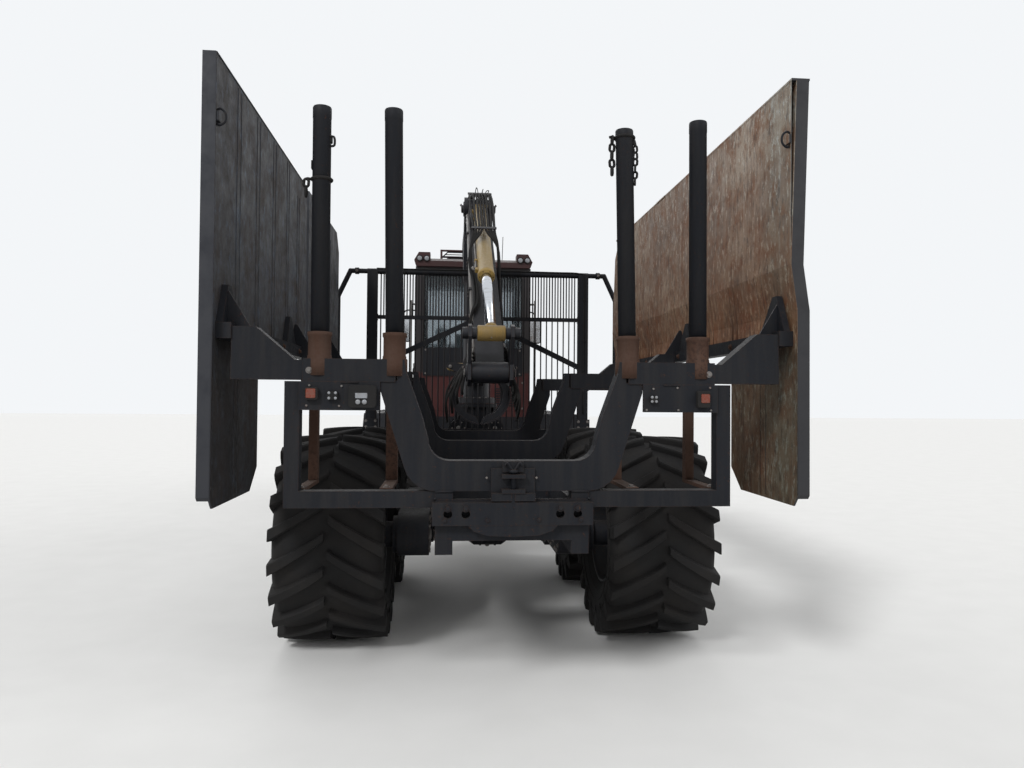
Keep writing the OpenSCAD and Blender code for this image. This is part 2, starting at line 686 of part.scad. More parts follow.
module wheel_front_r2() wheel(1, front_axle_y + bogie_half);

// CAB
cab_top_l = cab_l - 130;
sill_z = cab_floor + 560;
head_z = cab_ceiling - 110;
door_y = [cab_y + 330, cab_y + 1130];
door_z = [cab_floor + 90, cab_ceiling - 60];
function cab_outline(inset) = [[cab_y + inset, cab_floor + inset], [cab_y + inset, cab_ceiling],
  [cab_y + cab_top_l - inset, cab_ceiling], [cab_y + cab_l - inset, cab_floor + 900],
  [cab_y + cab_l - inset, cab_floor + inset]];

// Window openings: rear, front, right side and the two panes beside the door
module cab_openings(grow, deep) {
  // Rear and front windows
  span([-cab_half + 110 - grow, cab_y - deep, sill_z - grow], [cab_half - 110 + grow, cab_y + cab_wall + deep, head_z + grow]);
  span([-cab_half + 110 - grow, cab_y + cab_top_l - cab_wall - 60, sill_z + 20 - grow],
       [cab_half - 110 + grow, cab_y + cab_l + 100, head_z + grow]);
  // Side windows
  span([cab_half - cab_wall - deep, cab_y + 110 - grow, sill_z - grow], [cab_half + deep, cab_y + cab_top_l - 90 + grow, head_z + grow]);
  span([-cab_half - deep, cab_y + 90 - grow, sill_z - grow], [-cab_half + cab_wall + deep, door_y[0] - 70 + grow, head_z + grow]);
}

module cab_shell() {
  color(c_body) door_pins();
  color(c_body) difference() {
    side_plate(cab_outline(0), 2 * cab_half);
    difference() {
      side_plate(cab_outline(cab_wall), 2 * (cab_half - cab_wall));
    }
    span([-cab_half + cab_wall, cab_y + cab_wall, cab_ceiling - 60],
         [cab_half - cab_wall, cab_y + cab_top_l - cab_wall, cab_ceiling + 1]);
    cab_openings(0, 1);
    // Door opening on the left
    span([-cab_half - 1, door_y[0] - gap, door_z[0] - gap], [-cab_half + cab_wall + 1, door_y[1] + gap, door_z[1] + gap]);
  }
}

module cab_roof() {
  color(c_body) {
    side_plate([[cab_y - 60, cab_ceiling], [cab_y - 60, cab_ceiling + roof_t - 50], [cab_y + 60, cab_ceiling + roof_t],
      [cab_y + cab_top_l - 60, cab_ceiling + roof_t], [cab_y + cab_top_l + 80, cab_ceiling + roof_t - 50],
      [cab_y + cab_top_l + 80, cab_ceiling]], 2 * cab_half - 40);
    // Lamp pods at the corners
    both_sides() for (y = [cab_y + 50, cab_y + cab_top_l - 30])
      cross_plate([[cab_half - 190, cab_ceiling + 10], [cab_half - 5, cab_ceiling + 10], [cab_half + 20, cab_ceiling + 80],
        [cab_half - 40, cab_ceiling + 185], [cab_half - 190, cab_ceiling + 185]], 190, y);
    // Work lamps at the pods' ends
    both_sides() for (x = [cab_half - 145, cab_half - 52], y = [cab_y - 50, cab_y + cab_top_l + 70])
      bar_y([x, y, cab_ceiling + 98], 40, 50);
    // Hatch with its rail
    span([-460, cab_y + 400, cab_ceiling + roof_t - 1], [100, cab_y + 900, cab_ceiling + roof_t + 50]);
    for (y = [cab_y + 420, cab_y + 880]) {
      for (x = [-430, 70]) translate([x, y, cab_ceiling + roof_t]) cylinder(h = 190, r = 14);
      bar_x([-180, y, cab_ceiling + roof_t + 180], 14, 528);
    }
    for (x = [-430, 70]) bar_y([x, cab_y + 650, cab_ceiling + roof_t + 180], 14, 460);
  }
}

pane_t = 8;
module cab_glass() {
  color(c_glass) {
    span([-cab_half + 110, cab_y + 20, sill_z], [cab_half - 110, cab_y + 20 + pane_t, head_z]);
    span([cab_half - 28, cab_y + 110, sill_z], [cab_half - 28 + pane_t, cab_y + cab_top_l - 90, head_z]);
    span([-cab_half + 20, cab_y + 90, sill_z], [-cab_half + 20 + pane_t, door_y[0] - 70, head_z]);
    // Sloping windscreen in the front wall
    intersection() {
      side_plate([[cab_y + cab_top_l - 28, cab_ceiling], [cab_y + cab_l - 28, cab_floor + 900],
        [cab_y + cab_l - 28, sill_z], [cab_y + cab_l - 20, sill_z], [cab_y + cab_l - 20, cab_floor + 900],
        [cab_y + cab_top_l - 20, cab_ceiling]], 2 * cab_half);
      span([-cab_half + 110, cab_y, sill_z + 20], [cab_half - 110, cab_y + cab_l, head_z]);
    }
  }
}

// Door hinges ahead of the door: pins on the cab, knuckles on the door
hinge_pin_r = 9;
hinge_x = -cab_half - 18;
hinge_y = door_y[1] + 12;
hinge_z = [door_z[0] + 200, door_z[1] - 260];
knuckle_h = 60;
module door_pins() {
  for (z = hinge_z) {
    translate([hinge_x, hinge_y, z - 25]) cylinder(h = knuckle_h + 50, r = hinge_pin_r);
    for (k = [z - 27, z + knuckle_h + 2]) {
      translate([hinge_x, hinge_y, k]) cylinder(h = 25, r = 17);
      span([hinge_x, hinge_y - 12, k], [-cab_half + 1, hinge_y + 12, k + 25]);
    }
  }
}
module door_knuckles() {
  for (z = hinge_z) difference() {
    union() {
      translate([hinge_x, hinge_y, z]) cylinder(h = knuckle_h, r = 17);
      span([hinge_x - 10, hinge_y - 110, z + 5], [-cab_half - 6, hinge_y, z + knuckle_h - 5]);
      span([hinge_x - 10, hinge_y - 110, z + 5], [-cab_half + 1, hinge_y - 30, z + knuckle_h - 5]);
    }
    translate([hinge_x, hinge_y, z - 1]) cylinder(h = knuckle_h + 2, r = hinge_pin_r + fit);
  }
}

// Driver's seat, column and armrests seen through the glass
seat_h = 360;
module cab_seat() {
  color([0.10, 0.10, 0.11]) {
    translate([0, cab_y + 700, cab_floor + cab_wall]) cylinder(h = 320, r = 140);
    span([-260, cab_y + 440, cab_floor + seat_h], [260, cab_y + 960, cab_floor + seat_h + 130]);
    side_plate([[cab_y + 430, cab_floor + 420], [cab_y + 330, cab_floor + 1180], [cab_y + 430, cab_floor + 1200],
      [cab_y + 560, cab_floor + 480]], 480);
    both_sides() span([270, cab_y + 480, cab_floor + 620], [360, cab_y + 960, cab_floor + 690]);
    both_sides() span([255, cab_y + 600, cab_floor + 420], [300, cab_y + 680, cab_floor + 640]);
  }
}

// Door on the left, hinged at its front edge, with its frame as thick as the wall
module cab_door() {
  color(c_body) door_knuckles();
  color(c_body) difference() {
    span([-cab_half, door_y[0], door_z[0]], [-cab_half + cab_wall, door_y[1], door_z[1]]);
    span([-cab_half - 1, door_y[0] + 70, door_z[0] + 520], [-cab_half + cab_wall + 1, door_y[1] - 70, door_z[1] - 70]);
  }
}
module door_glass() {
  color(c_glass) span([-cab_half + 20, door_y[0] + 70, door_z[0] + 520], [-cab_half + 20 + pane_t, door_y[1] - 70, door_z[1] - 70]);
}

// BONNET AND FRONT
bonnet_y = [cab_front_y + 12, front_y - 300];
bonnet_low = frame_top + 110;
louvres = floor((bonnet_y[1] - bonnet_y[0] - 1200) / 110);
function bonnet_outline(inset) = [[bonnet_y[0] + inset, bonnet_low - (inset > 0 ? 1 : 0)],
  [bonnet_y[0] + inset, bonnet_rear_z - inset], [bonnet_y[0] + 900, bonnet_rear_z - inset],
  [bonnet_y[1] - 120, bonnet_front_z - inset], [bonnet_y[1] - inset, bonnet_front_z - 160],
  [bonnet_y[1] - inset, bonnet_low - (inset > 0 ? 1 : 0)]];

// Bonnet hinges ahead of the nose: pins and lugs on the frame, ears on the bonnet
tilt_at = [bonnet_y[1] + 40, bonnet_low + 35];
tilt_x = 420;
module bonnet_lugs() {
  both_sides() {
    for (x = [tilt_x - 40, tilt_x + 20]) {
      span([x, tilt_at[0] - 22, frame_top + 99], [x + 20, tilt_at[0] + 22, tilt_at[1]]);
      bar_x([x + 10, tilt_at[0], tilt_at[1]], 22, 20);
    }
    bar_x([tilt_x, tilt_at[0], tilt_at[1]], 12, 70);
  }
}
module bonnet_ears() {
  both_sides() difference() {
    union() {
      bar_x([tilt_x, tilt_at[0], tilt_at[1]], 22, 30);
      span([tilt_x - 15, bonnet_y[1] - 1, tilt_at[1] - 12], [tilt_x + 15, tilt_at[0], tilt_at[1] + 22]);
    }
    bar_x([tilt_x, tilt_at[0], tilt_at[1]], 12 + fit, 80);
  }
}
module bonnet() {
  color(c_body) bonnet_ears();
  color(c_body) difference() {
    side_plate(bonnet_outline(0), 2 * bonnet_half);
    side_plate(bonnet_outline(bonnet_wall), 2 * (bonnet_half - bonnet_wall));
    // Louvred openings in the sides and the nose
    for (i = [0 : louvres - 1]) span([-bonnet_half - 1, bonnet_y[0] + 500 + i * 110, 1700],
                           [bonnet_half + 1, bonnet_y[0] + 560 + i * 110, 2150]);
    for (i = [-4 : 4]) span([i * 120 - 35, bonnet_y[1] - 60, 1450], [i * 120 + 35, bonnet_y[1] + 1, 1950]);
  }
}

engine_rear_gap = 240;
engine_front_gap = 940;
engine_y = [cab_front_y + engine_rear_gap, front_y - engine_front_gap];
engine_top = 2050;
module engine() {
  color([0.25, 0.25, 0.26]) span([-330, engine_y[0], frame_top], [330, engine_y[1], engine_top]);
}

exhaust_at = [730, cab_front_y + 90];
module exhaust() {
  color(c_frame) {
    span([frame_half, exhaust_at[1] - 40, 1085], [exhaust_at[0] + 40, exhaust_at[1] + 40, 1125]);
    translate([exhaust_at[0], exhaust_at[1], 1120]) cylinder(h = 2000, r = 42);
    translate([exhaust_at[0], exhaust_at[1], 1500]) cylinder(h = 1100, r = 62);
    translate([exhaust_at[0], exhaust_at[1], 3110]) rotate([-50, 0, 0]) cylinder(h = 160, r = 42);
  }
}

// Mudguards over the front bogie, with a step on the left
fender_z = 1450;
fender_lip_z = fender_z - 210;
fender_y = [joint_y + 560, front_y - 930];
step_x = [-1545, -1437];
module fenders() {
  color(c_frame) both_sides() difference() {
    union() {
      side_plate([[fender_y[0] - 90, fender_lip_z], [fender_y[0] - 80, fender_lip_z], [fender_y[0] + 62, fender_z - 5],
        [fender_y[1] - 62, fender_z - 5], [fender_y[1] + 80, fender_lip_z], [fender_y[1] + 90, fender_lip_z],
        [fender_y[1] - 55, fender_z + 5], [fender_y[0] + 55, fender_z + 5]], 630, 1105);
      // Strut from the frame between the wheels
      span([frame_half, front_axle_y - 45, 1020], [1000, front_axle_y + 45, 1080]);
      span([930, front_axle_y - 45, 1070], [1000, front_axle_y + 45, fender_z]);
    }
  }
  color(c_frame) {
    for (z = [700, 880, 1060]) span([step_x[0], front_axle_y - 140, z], [step_x[1], front_axle_y + 140, z + 20]);
    for (y = [-150, 140])
      span([step_x[0], front_axle_y + y, 690], [step_x[1], front_axle_y + y + 10, fender_z + 4]);
    span([step_x[0], front_axle_y - 150, fender_z - 5], [-1415, front_axle_y + 150, fender_z + 5]);
  }
}

module front_guard() {
  color(c_frame) {
    span([-900, front_y - 189.7, 700], [900, front_y - 60, 1090]);
    both_sides() translate([600, front_y - 60, 0]) span([-40, 0, 760], [40, 60, 1240]);
    bar_x([0, front_y - 32, 1230], 32, 1500);
    bar_x([0, front_y - 32, 900], 32, 1700);
    // Headlamps
    both_sides() bar_y([690, front_y - 70, 1160], 62, 90);
  }
}

// CRANE
// Pins in the crane's plane as [y, z]
foot_pin = [crane_y - boom_pin_back, boom_pin_z];
knuckle = [bunk_y + knuckle_at, knuckle_z];
tip_pin = [bunk_y + tip_at, tip_z];
boom_dir = unit(knuckle - foot_pin);
boom_up = -left_of(boom_dir);
jib_dir = unit(tip_pin - knuckle);
jib_up = left_of(jib_dir);
jib_l = norm(tip_pin - knuckle);
boom_l = norm(knuckle - foot_pin);
lift_base = [crane_y - 240, 1950];
lift_eye = foot_pin + 350 * boom_dir - 283 * boom_up;
lift_dir = unit(lift_eye - lift_base);
lift_l = norm(lift_eye - lift_base);
lever_pin = knuckle + [-160, 300];
boom_cyl_base = foot_pin + [-550, -145];
boom_cyl_dir = unit(lever_pin - boom_cyl_base);
boom_cyl_l = norm(lever_pin - boom_cyl_base);
boom_gland = 1630;
function boom_pt(a, u) = foot_pin + a * boom_dir + u * boom_up;
function jib_pt(a, u) = knuckle + a * jib_dir + u * jib_up;

module crane_pillar() {
  color(c_frame) {
    difference() {
      union() {
        translate([0, crane_y, base_top + gap]) cylinder(h = 60, r = 235);
        translate([0, crane_y, base_top - 240]) cylinder(h = 300, r = 120);
        translate([0, crane_y, base_top + gap]) cylinder(h = 1560, r = pillar_r);
        // Head that leans back to the boom's foot pin
        side_plate([[crane_y - 130, 3020], [crane_y + 145, 3020], [crane_y + 130, 3500],
          [foot_pin[0] + 120, foot_pin[1] + 90], [foot_pin[0] - 60, foot_pin[1] + 118],
          [foot_pin[0] - 120, foot_pin[1] - 20], [crane_y - 240, 3560]], boom_w + 90);
        bar_x([0, foot_pin[0], foot_pin[1]], 130, boom_w + 90);
        // Lugs of the lift cylinder
        side_plate([[lift_base[0] - 75, lift_base[1] - 60], [lift_base[0] - 60, lift_base[1] + 75],
          [crane_y - 100, lift_base[1] + 160], [crane_y - 100, lift_base[1] - 160]], 190);
        bar_x([0, lift_base[0], lift_base[1]], 75, 190);
      }
      // Slot for the boom's foot
      side_plate([[foot_pin[0] - 200, foot_pin[1] - 330], [foot_pin[0] + 155, foot_pin[1] - 190],
        [foot_pin[0] + 155, foot_pin[1] + 200], [foot_pin[0] - 200, foot_pin[1] + 200]], boom_w + 10);
      // Slot for the lift cylinder's foot
      span([-80, lift_base[0] - 100, lift_base[1] - 90], [80, lift_base[0] + 95, lift_base[1] + 200]);
      bar_x([0, foot_pin[0], foot_pin[1]], 45 + fit, boom_w + 100);
      bar_x([0, lift_base[0], lift_base[1]], 35 + fit, 200);
    }
  }
}

module lift_barrel() {
  color(c_yellow) difference() {
    union() {
      bar_x([0, lift_base[0], lift_base[1]], 62, 150);
      bar_x([0, lift_base[0], lift_base[1]], 35, 250);
      rod_between(lift_base + 30 * lift_dir, lift_base + 1060 * lift_dir, lift_barrel_r);
      rod_between(lift_base + 1010 * lift_dir, lift_base + 1070 * lift_dir, lift_barrel_r + 6);
    }
    rod_between(lift_base + 130 * lift_dir, lift_base + 1100 * lift_dir, lift_rod_r + fit);
  }
}

module lift_rod() {
  color(c_chrome) {
    rod_between(lift_base + 140 * lift_dir, lift_eye - 20 * lift_dir, lift_rod_r);
    bar_x([0, lift_eye[0], lift_eye[1]], 60, 100);
  }
}

module main_boom() {
  color(c_frame) difference() {
    union() {
      // Box section in its side outline, from the foot to the knuckle
      side_plate([boom_pt(-90, -60), boom_pt(-90, 60), boom_pt(60, 125), boom_pt(400, 60),
        boom_pt(1500, 95), boom_pt(boom_l - 760, 110), boom_pt(boom_l - 430, 105), boom_pt(boom_l + 40, 60),
        boom_pt(boom_l + 60, 0), boom_pt(boom_l + 40, -50), boom_pt(boom_l - 160, -60),
        boom_pt(boom_l - 1000, -110), boom_pt(boom_l - 1500, 110 - boom_h), boom_pt(450, 110 - boom_h),
        boom_pt(100, -125)], boom_w);
      bar_x([0, foot_pin[0], foot_pin[1]], 110, boom_w);
      bar_x([0, foot_pin[0], foot_pin[1]], 45, boom_w + 150);
      bar_x([0, knuckle[0], knuckle[1]], 85, 2 * knuckle_half);
      bar_x([0, knuckle[0], knuckle[1]], 40, 2 * knuckle_half + 2 * gap + 2 * cheek_t + 42);
      // Cheeks for the lift cylinder's eye
      for (x = [-75, 75]) side_plate([boom_pt(180, -110), boom_pt(250, -300), boom_pt(310, -350),
        boom_pt(400, -350), boom_pt(470, -290), boom_pt(620, -110)], 26, x);
      // Cheeks of the boom cylinder's foot
      for (x = [-95, 95]) side_plate([boom_pt(380, 40), boom_pt(450, 240), boom_pt(500, 275), boom_pt(560, 275),
        boom_pt(610, 240), boom_pt(690, 60)], 24, x);
      // Steel pipes along the left side
      for (z = [-40, 0, 40]) rod_between(boom_pt(300, z), boom_pt(boom_l - 300, z), 14, -boom_w / 2 - 10);
    }
    bar_x([0, boom_cyl_base[0], boom_cyl_base[1]], 32 + fit, boom_w);
    // Recess between the cheeks for the lift cylinder's eye
    side_plate([boom_pt(165, -220), boom_pt(165, -112), boom_pt(490, -112), boom_pt(490, -220)], 116);
  }
}

module boom_barrel() {
  color(c_yellow) difference() {
    union() {
      bar_x([0, boom_cyl_base[0], boom_cyl_base[1]], 60, 150);
      bar_x([0, boom_cyl_base[0], boom_cyl_base[1]], 32, 210);
      rod_between(boom_cyl_base + 30 * boom_cyl_dir, boom_cyl_base + boom_gland * boom_cyl_dir, boom_barrel_r);
      rod_between(boom_cyl_base + (boom_gland - 60) * boom_cyl_dir,
                  boom_cyl_base + (boom_gland + 10) * boom_cyl_dir, boom_barrel_r + 5);
    }
    rod_between(boom_cyl_base + 200 * boom_cyl_dir, boom_cyl_base + (boom_gland + 20) * boom_cyl_dir, boom_rod_r + fit);
  }
}

module boom_rod() {
  color(c_chrome) {
    rod_between(boom_cyl_base + (boom_gland - 400) * boom_cyl_dir, lever_pin - 20 * boom_cyl_dir, boom_rod_r);
    bar_x([0, lever_pin[0], lever_pin[1]], 62, rod_eye_w);
  }
}

// Jib box with its knuckle cheeks and the lever for the boom cylinder; the box hangs below the pins' line
jib_wall = 10;
jib_drop = 60;
jib_low = -jib_drop - jib_h / 2;
jib_high = -jib_drop + jib_h / 2;
jib_end = jib_l - 270;
cheek_t = 28;
knuckle_half = 146;
cheek_x = knuckle_half + gap + cheek_t / 2;
rod_eye_w = 217;
module jib() {
  color(c_frame) difference() {
    union() {
      side_plate([jib_pt(170, jib_low), jib_pt(170, -45), jib_pt(330, -4), jib_pt(530, jib_high),
        jib_pt(jib_end, jib_high), jib_pt(jib_end, jib_low)], jib_w);
      for (x = [-cheek_x, cheek_x]) side_plate([knuckle + [-110, -60], knuckle + [-100, 60],
        lever_pin + [-62, -30], lever_pin + [-50, 52], lever_pin + [0, 72], lever_pin + [60, 50],
        knuckle + [105, 130], jib_pt(330, -4), jib_pt(420, -60), jib_pt(420, jib_low), jib_pt(170, jib_low),
        knuckle + [-40, -112]], cheek_t, x);
      // Bosses beside the rod's eye, and the pin's heads
      both_sides() bar_x([cheek_x + 4, lever_pin[0], lever_pin[1]], 46, 2 * (cheek_x + 4 - rod_eye_w / 2 - gap));
      // Block that joins the cheeks below the boom
      side_plate([jib_pt(175, jib_low + 4), jib_pt(175, -50), jib_pt(325, -10), jib_pt(415, -60),
        jib_pt(415, jib_low + 4)], 2 * cheek_x);
      side_plate([jib_pt(jib_end - 60, jib_low - 12), jib_pt(jib_end - 60, jib_high + 12),
        jib_pt(jib_end, jib_high + 12), jib_pt(jib_end, jib_low - 12)], jib_w + 24);
    }
    // Bore of the box for the extension
    side_plate([jib_pt(470, jib_low + jib_wall), jib_pt(470, jib_high - jib_wall - 25),
      jib_pt(560, jib_high - jib_wall), jib_pt(jib_l, jib_high - jib_wall), jib_pt(jib_l, jib_low + jib_wall)],
      jib_w - 2 * jib_wall);
    bar_x([0, knuckle[0], knuckle[1]], 40 + fit, 2 * cheek_x + 100);
  }
}

module jib_extension() {
  tube_w = jib_w - 2 * jib_wall - 2 * slide_gap;
  color(c_frame) {
    side_plate([jib_pt(565, jib_low + jib_wall + slide_gap), jib_pt(565, jib_high - jib_wall - slide_gap),
      jib_pt(jib_l - 215, jib_high - jib_wall - slide_gap), jib_pt(jib_l - 215, jib_low + jib_wall + slide_gap)], tube_w);
    // Fork head at the tip
    for (x = [-52, 52]) side_plate([jib_pt(jib_l - 260, jib_low + 20), jib_pt(jib_l - 260, jib_high - 20),
      jib_pt(jib_l - 200, jib_high - 15), jib_pt(jib_l - 20, 62), jib_pt(jib_l + 40, 50), jib_pt(jib_l + 62, 0),
      jib_pt(jib_l + 40, -50), jib_pt(jib_l - 20, -68), jib_pt(jib_l - 100, -70), jib_pt(jib_l - 195, -105),
      jib_pt(jib_l - 235, jib_low + 20)], 34, x);
    bar_x([0, tip_pin[0], tip_pin[1]], 30, 150);
  }
}

// Link that hangs from the jib's tip down to the cross pin
cross_pin_z = tip_z - 175;
module tip_link() {
  color(c_frame) difference() {
    union() {
      bar_x([0, tip_pin[0], tip_pin[1]], 58, 58);
      span([-29, tip_pin[0] - 50, cross_pin_z - 10], [29, tip_pin[0] + 50, tip_pin[1]]);
      bar_y([0, tip_pin[0], cross_pin_z], 29, 100);
      bar_y([0, tip_pin[0], cross_pin_z], 24, 200);
    }
    bar_x([0, tip_pin[0], tip_pin[1]], 30 + fit, 100);
  }
}

// Rotator: fork for the cross pin over a round motor
rotator_low = 2235;
module rotator() {
  color(c_frame) difference() {
    union() {
      translate([0, tip_pin[0], rotator_low]) cylinder(h = 130, r = 105);
      for (k = [-1, 1]) translate([0, tip_pin[0] + k * 72, 0])
        cross_plate([[-60, rotator_low + 125], [60, rotator_low + 125], [38, cross_pin_z + 26],
          [0, cross_pin_z + 42], [-38, cross_pin_z + 26]], 34);
    }
    bar_y([0, tip_pin[0], cross_pin_z], 24 + fit, 300);
    translate([0, tip_pin[0], rotator_low - 1]) cylinder(h = 60, r = 40 + fit);
  }
}

jaw_pin = [140, 1950];
jaw_c = [0, 1700];
horn = [167, 30];
module grapple_frame() {
  y = tip_pin[0];
  color(c_frame) difference() {
    union() {
      translate([0, y, rotator_low - 30]) cylinder(h = 25, r = 120);
      translate([0, y, rotator_low - 10]) cylinder(h = 60, r = 40);
      for (k = [-1, 1]) cross_plate([[-110, rotator_low - 25], [110, rotator_low - 25], [jaw_pin[0] + 55, jaw_pin[1] + 30],
        [jaw_pin[0] + 50, jaw_pin[1] - 40], [jaw_pin[0], jaw_pin[1] - 60], [-jaw_pin[0], jaw_pin[1] - 60],
        [-jaw_pin[0] - 50, jaw_pin[1] - 40], [-jaw_pin[0] - 55, jaw_pin[1] + 30]], 20, y + k * 80);
      for (x = [-1, 1]) for (k = [-1, 1]) bar_y([x * jaw_pin[0], y + k * 107, jaw_pin[1]], 28, 74);
    }
  }
}

// One jaw as a ring sector with its horn; the mirror image is the other
module jaw(side) {
  y = tip_pin[0];
  mirror([side < 0 ? 1 : 0, 0, 0]) color(c_frame) difference() {
    union() {
      // Two ribs
      for (k = [-1, 1]) cross_plate(concat(arc(jaw_c, grapple_r, -88, 62, 12), arc(jaw_c, grapple_r - 75, 62, -78, 12)),
        26, y + k * 120);
      for (k = [-1, 1]) cross_plate([jaw_pin + [-45, -30], jaw_pin + [20, -60], jaw_pin + horn + [45, -10],
        jaw_pin + horn + [20, 42], jaw_pin + horn + [-30, 40], jaw_pin + [-30, 50]], 26, y + k * 120);
      // Curved back between the ribs, and the tip edge
      cross_plate(concat(arc(jaw_c, grapple_r - 2, -84, 10, 8), arc(jaw_c, grapple_r - 16, 10, -80, 8)), jaw_w, y);
    }
    bar_y([jaw_pin[0], y, jaw_pin[1]], 28 + fit, jaw_w + 20);
    // Pin hole of the grapple cylinder's foot
    if (side < 0) bar_y([jaw_pin[0] + horn[0], y, jaw_pin[1] + horn[1]], 18 + fit, jaw_w + 20);
  }
}
module jaw_left() jaw(-1);
module jaw_right() jaw(1);

module grapple_barrel() {
  y = tip_pin[0];
  x = jaw_pin[0] + horn[0];
  z = jaw_pin[1] + horn[1];
  color(c_yellow) difference() {
    union() {
      bar_y([-x, y, z], 36, 100);
      bar_y([-x, y, z], 18, 290);
      bar_x([(20 - x) / 2, y, z], 42, x + 20);
    }
    bar_x([(20 - x + 45) / 2, y, z], 22 + fit, x - 20);
  }
}
module grapple_rod() {
  y = tip_pin[0];
  x = jaw_pin[0] + horn[0];
  z = jaw_pin[1] + horn[1];
  color(c_chrome) {
    bar_x([(x - 12) / 2, y, z], 22, x + 12);
    bar_y([x, y, z], 34, 90);
  }
}

rear_chassis();
rear_axle();
rear_bunk();
mid_bunks();
stakes();
arms_left();
arms_right();
panel_left();
panel_right();
light_frame();
rear_lamps();
gate();
crane_base();
front_chassis();
front_axle();
cab_shell();
cab_roof();
cab_glass();
cab_seat();
engine();
fenders();
front_guard();
exhaust();
bonnet();
cab_door();
door_glass();
wheel_rear_l1();
wheel_rear_l2();
wheel_rear_r1();
wheel_rear_r2();
wheel_front_l1();
wheel_front_l2();
wheel_front_r1();
wheel_front_r2();
steer_barrel_left();
steer_barrel_right();
steer_rod_left();
steer_rod_right();
crane_pillar();
lift_barrel();
lift_rod();
main_boom();
boom_barrel();
boom_rod();
jib();
jib_extension();
tip_link();
rotator();
grapple_frame();
jaw_left();
jaw_right();
grapple_barrel();
grapple_rod();
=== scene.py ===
import bpy
import bmesh
import math
import random
from mathutils import Matrix, Vector


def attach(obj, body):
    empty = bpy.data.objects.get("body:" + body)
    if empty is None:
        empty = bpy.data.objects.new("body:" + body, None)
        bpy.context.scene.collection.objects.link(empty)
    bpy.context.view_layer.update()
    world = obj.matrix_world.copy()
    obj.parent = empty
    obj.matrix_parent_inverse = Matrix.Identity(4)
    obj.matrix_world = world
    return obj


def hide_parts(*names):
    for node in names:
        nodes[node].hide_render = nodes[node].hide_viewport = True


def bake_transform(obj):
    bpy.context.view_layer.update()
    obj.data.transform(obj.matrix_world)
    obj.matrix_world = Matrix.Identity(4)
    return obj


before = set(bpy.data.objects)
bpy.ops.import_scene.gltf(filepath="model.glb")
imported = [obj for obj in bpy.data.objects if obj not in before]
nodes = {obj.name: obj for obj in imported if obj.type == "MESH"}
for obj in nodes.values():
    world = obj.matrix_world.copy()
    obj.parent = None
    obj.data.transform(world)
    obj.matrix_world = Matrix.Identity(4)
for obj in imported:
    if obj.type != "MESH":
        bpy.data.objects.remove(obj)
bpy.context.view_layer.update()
scene = bpy.context.scene

# Stations in metres from the rear bunk forward, and where the rear bunk stands in the frame
BUNK_Y = -4.84
BUNKS = (0, 1.80, 3.47)
REAR_AXLE, GATE, CRANE, JOINT, CAB, FRONT_AXLE = 2.23, 4.22, 4.85, 5.50, 5.96, 7.50
AXLE_SHIFT, WHEEL_X, WHEEL_Z = 0.75, 1.075, 0.70

# Camera as fitted: place, focal length and picture width in pixels, sensor width in millimetres
CAMERA_AT = (-0.343, -8.69, 1.668)
FOCAL_PX, PICTURE_PX, SENSOR = 742.6, 1024, 36


# Camera, fitted to the photograph
def add_camera():
    yaw, pitch, roll = 0.088, 0.019, 0.008
    right = Vector((math.cos(yaw), -math.sin(yaw), 0))
    forward = Vector((math.sin(yaw) * math.cos(pitch), math.cos(yaw) * math.cos(pitch), math.sin(pitch)))
    up = right.cross(forward)
    cam_x = right * math.cos(roll) + up * math.sin(roll)
    cam_y = up * math.cos(roll) - right * math.sin(roll)
    data = bpy.data.cameras.new("camera")
    data.sensor_width = SENSOR
    data.lens = FOCAL_PX / PICTURE_PX * SENSOR
    data.clip_start = 0.05
    data.clip_end = 200
    camera = bpy.data.objects.new("camera", data)
    scene.collection.objects.link(camera)
    rotation = Matrix((cam_x, cam_y, -forward)).transposed().to_4x4()
    camera.matrix_world = Matrix.Translation(CAMERA_AT) @ rotation
    scene.camera = camera


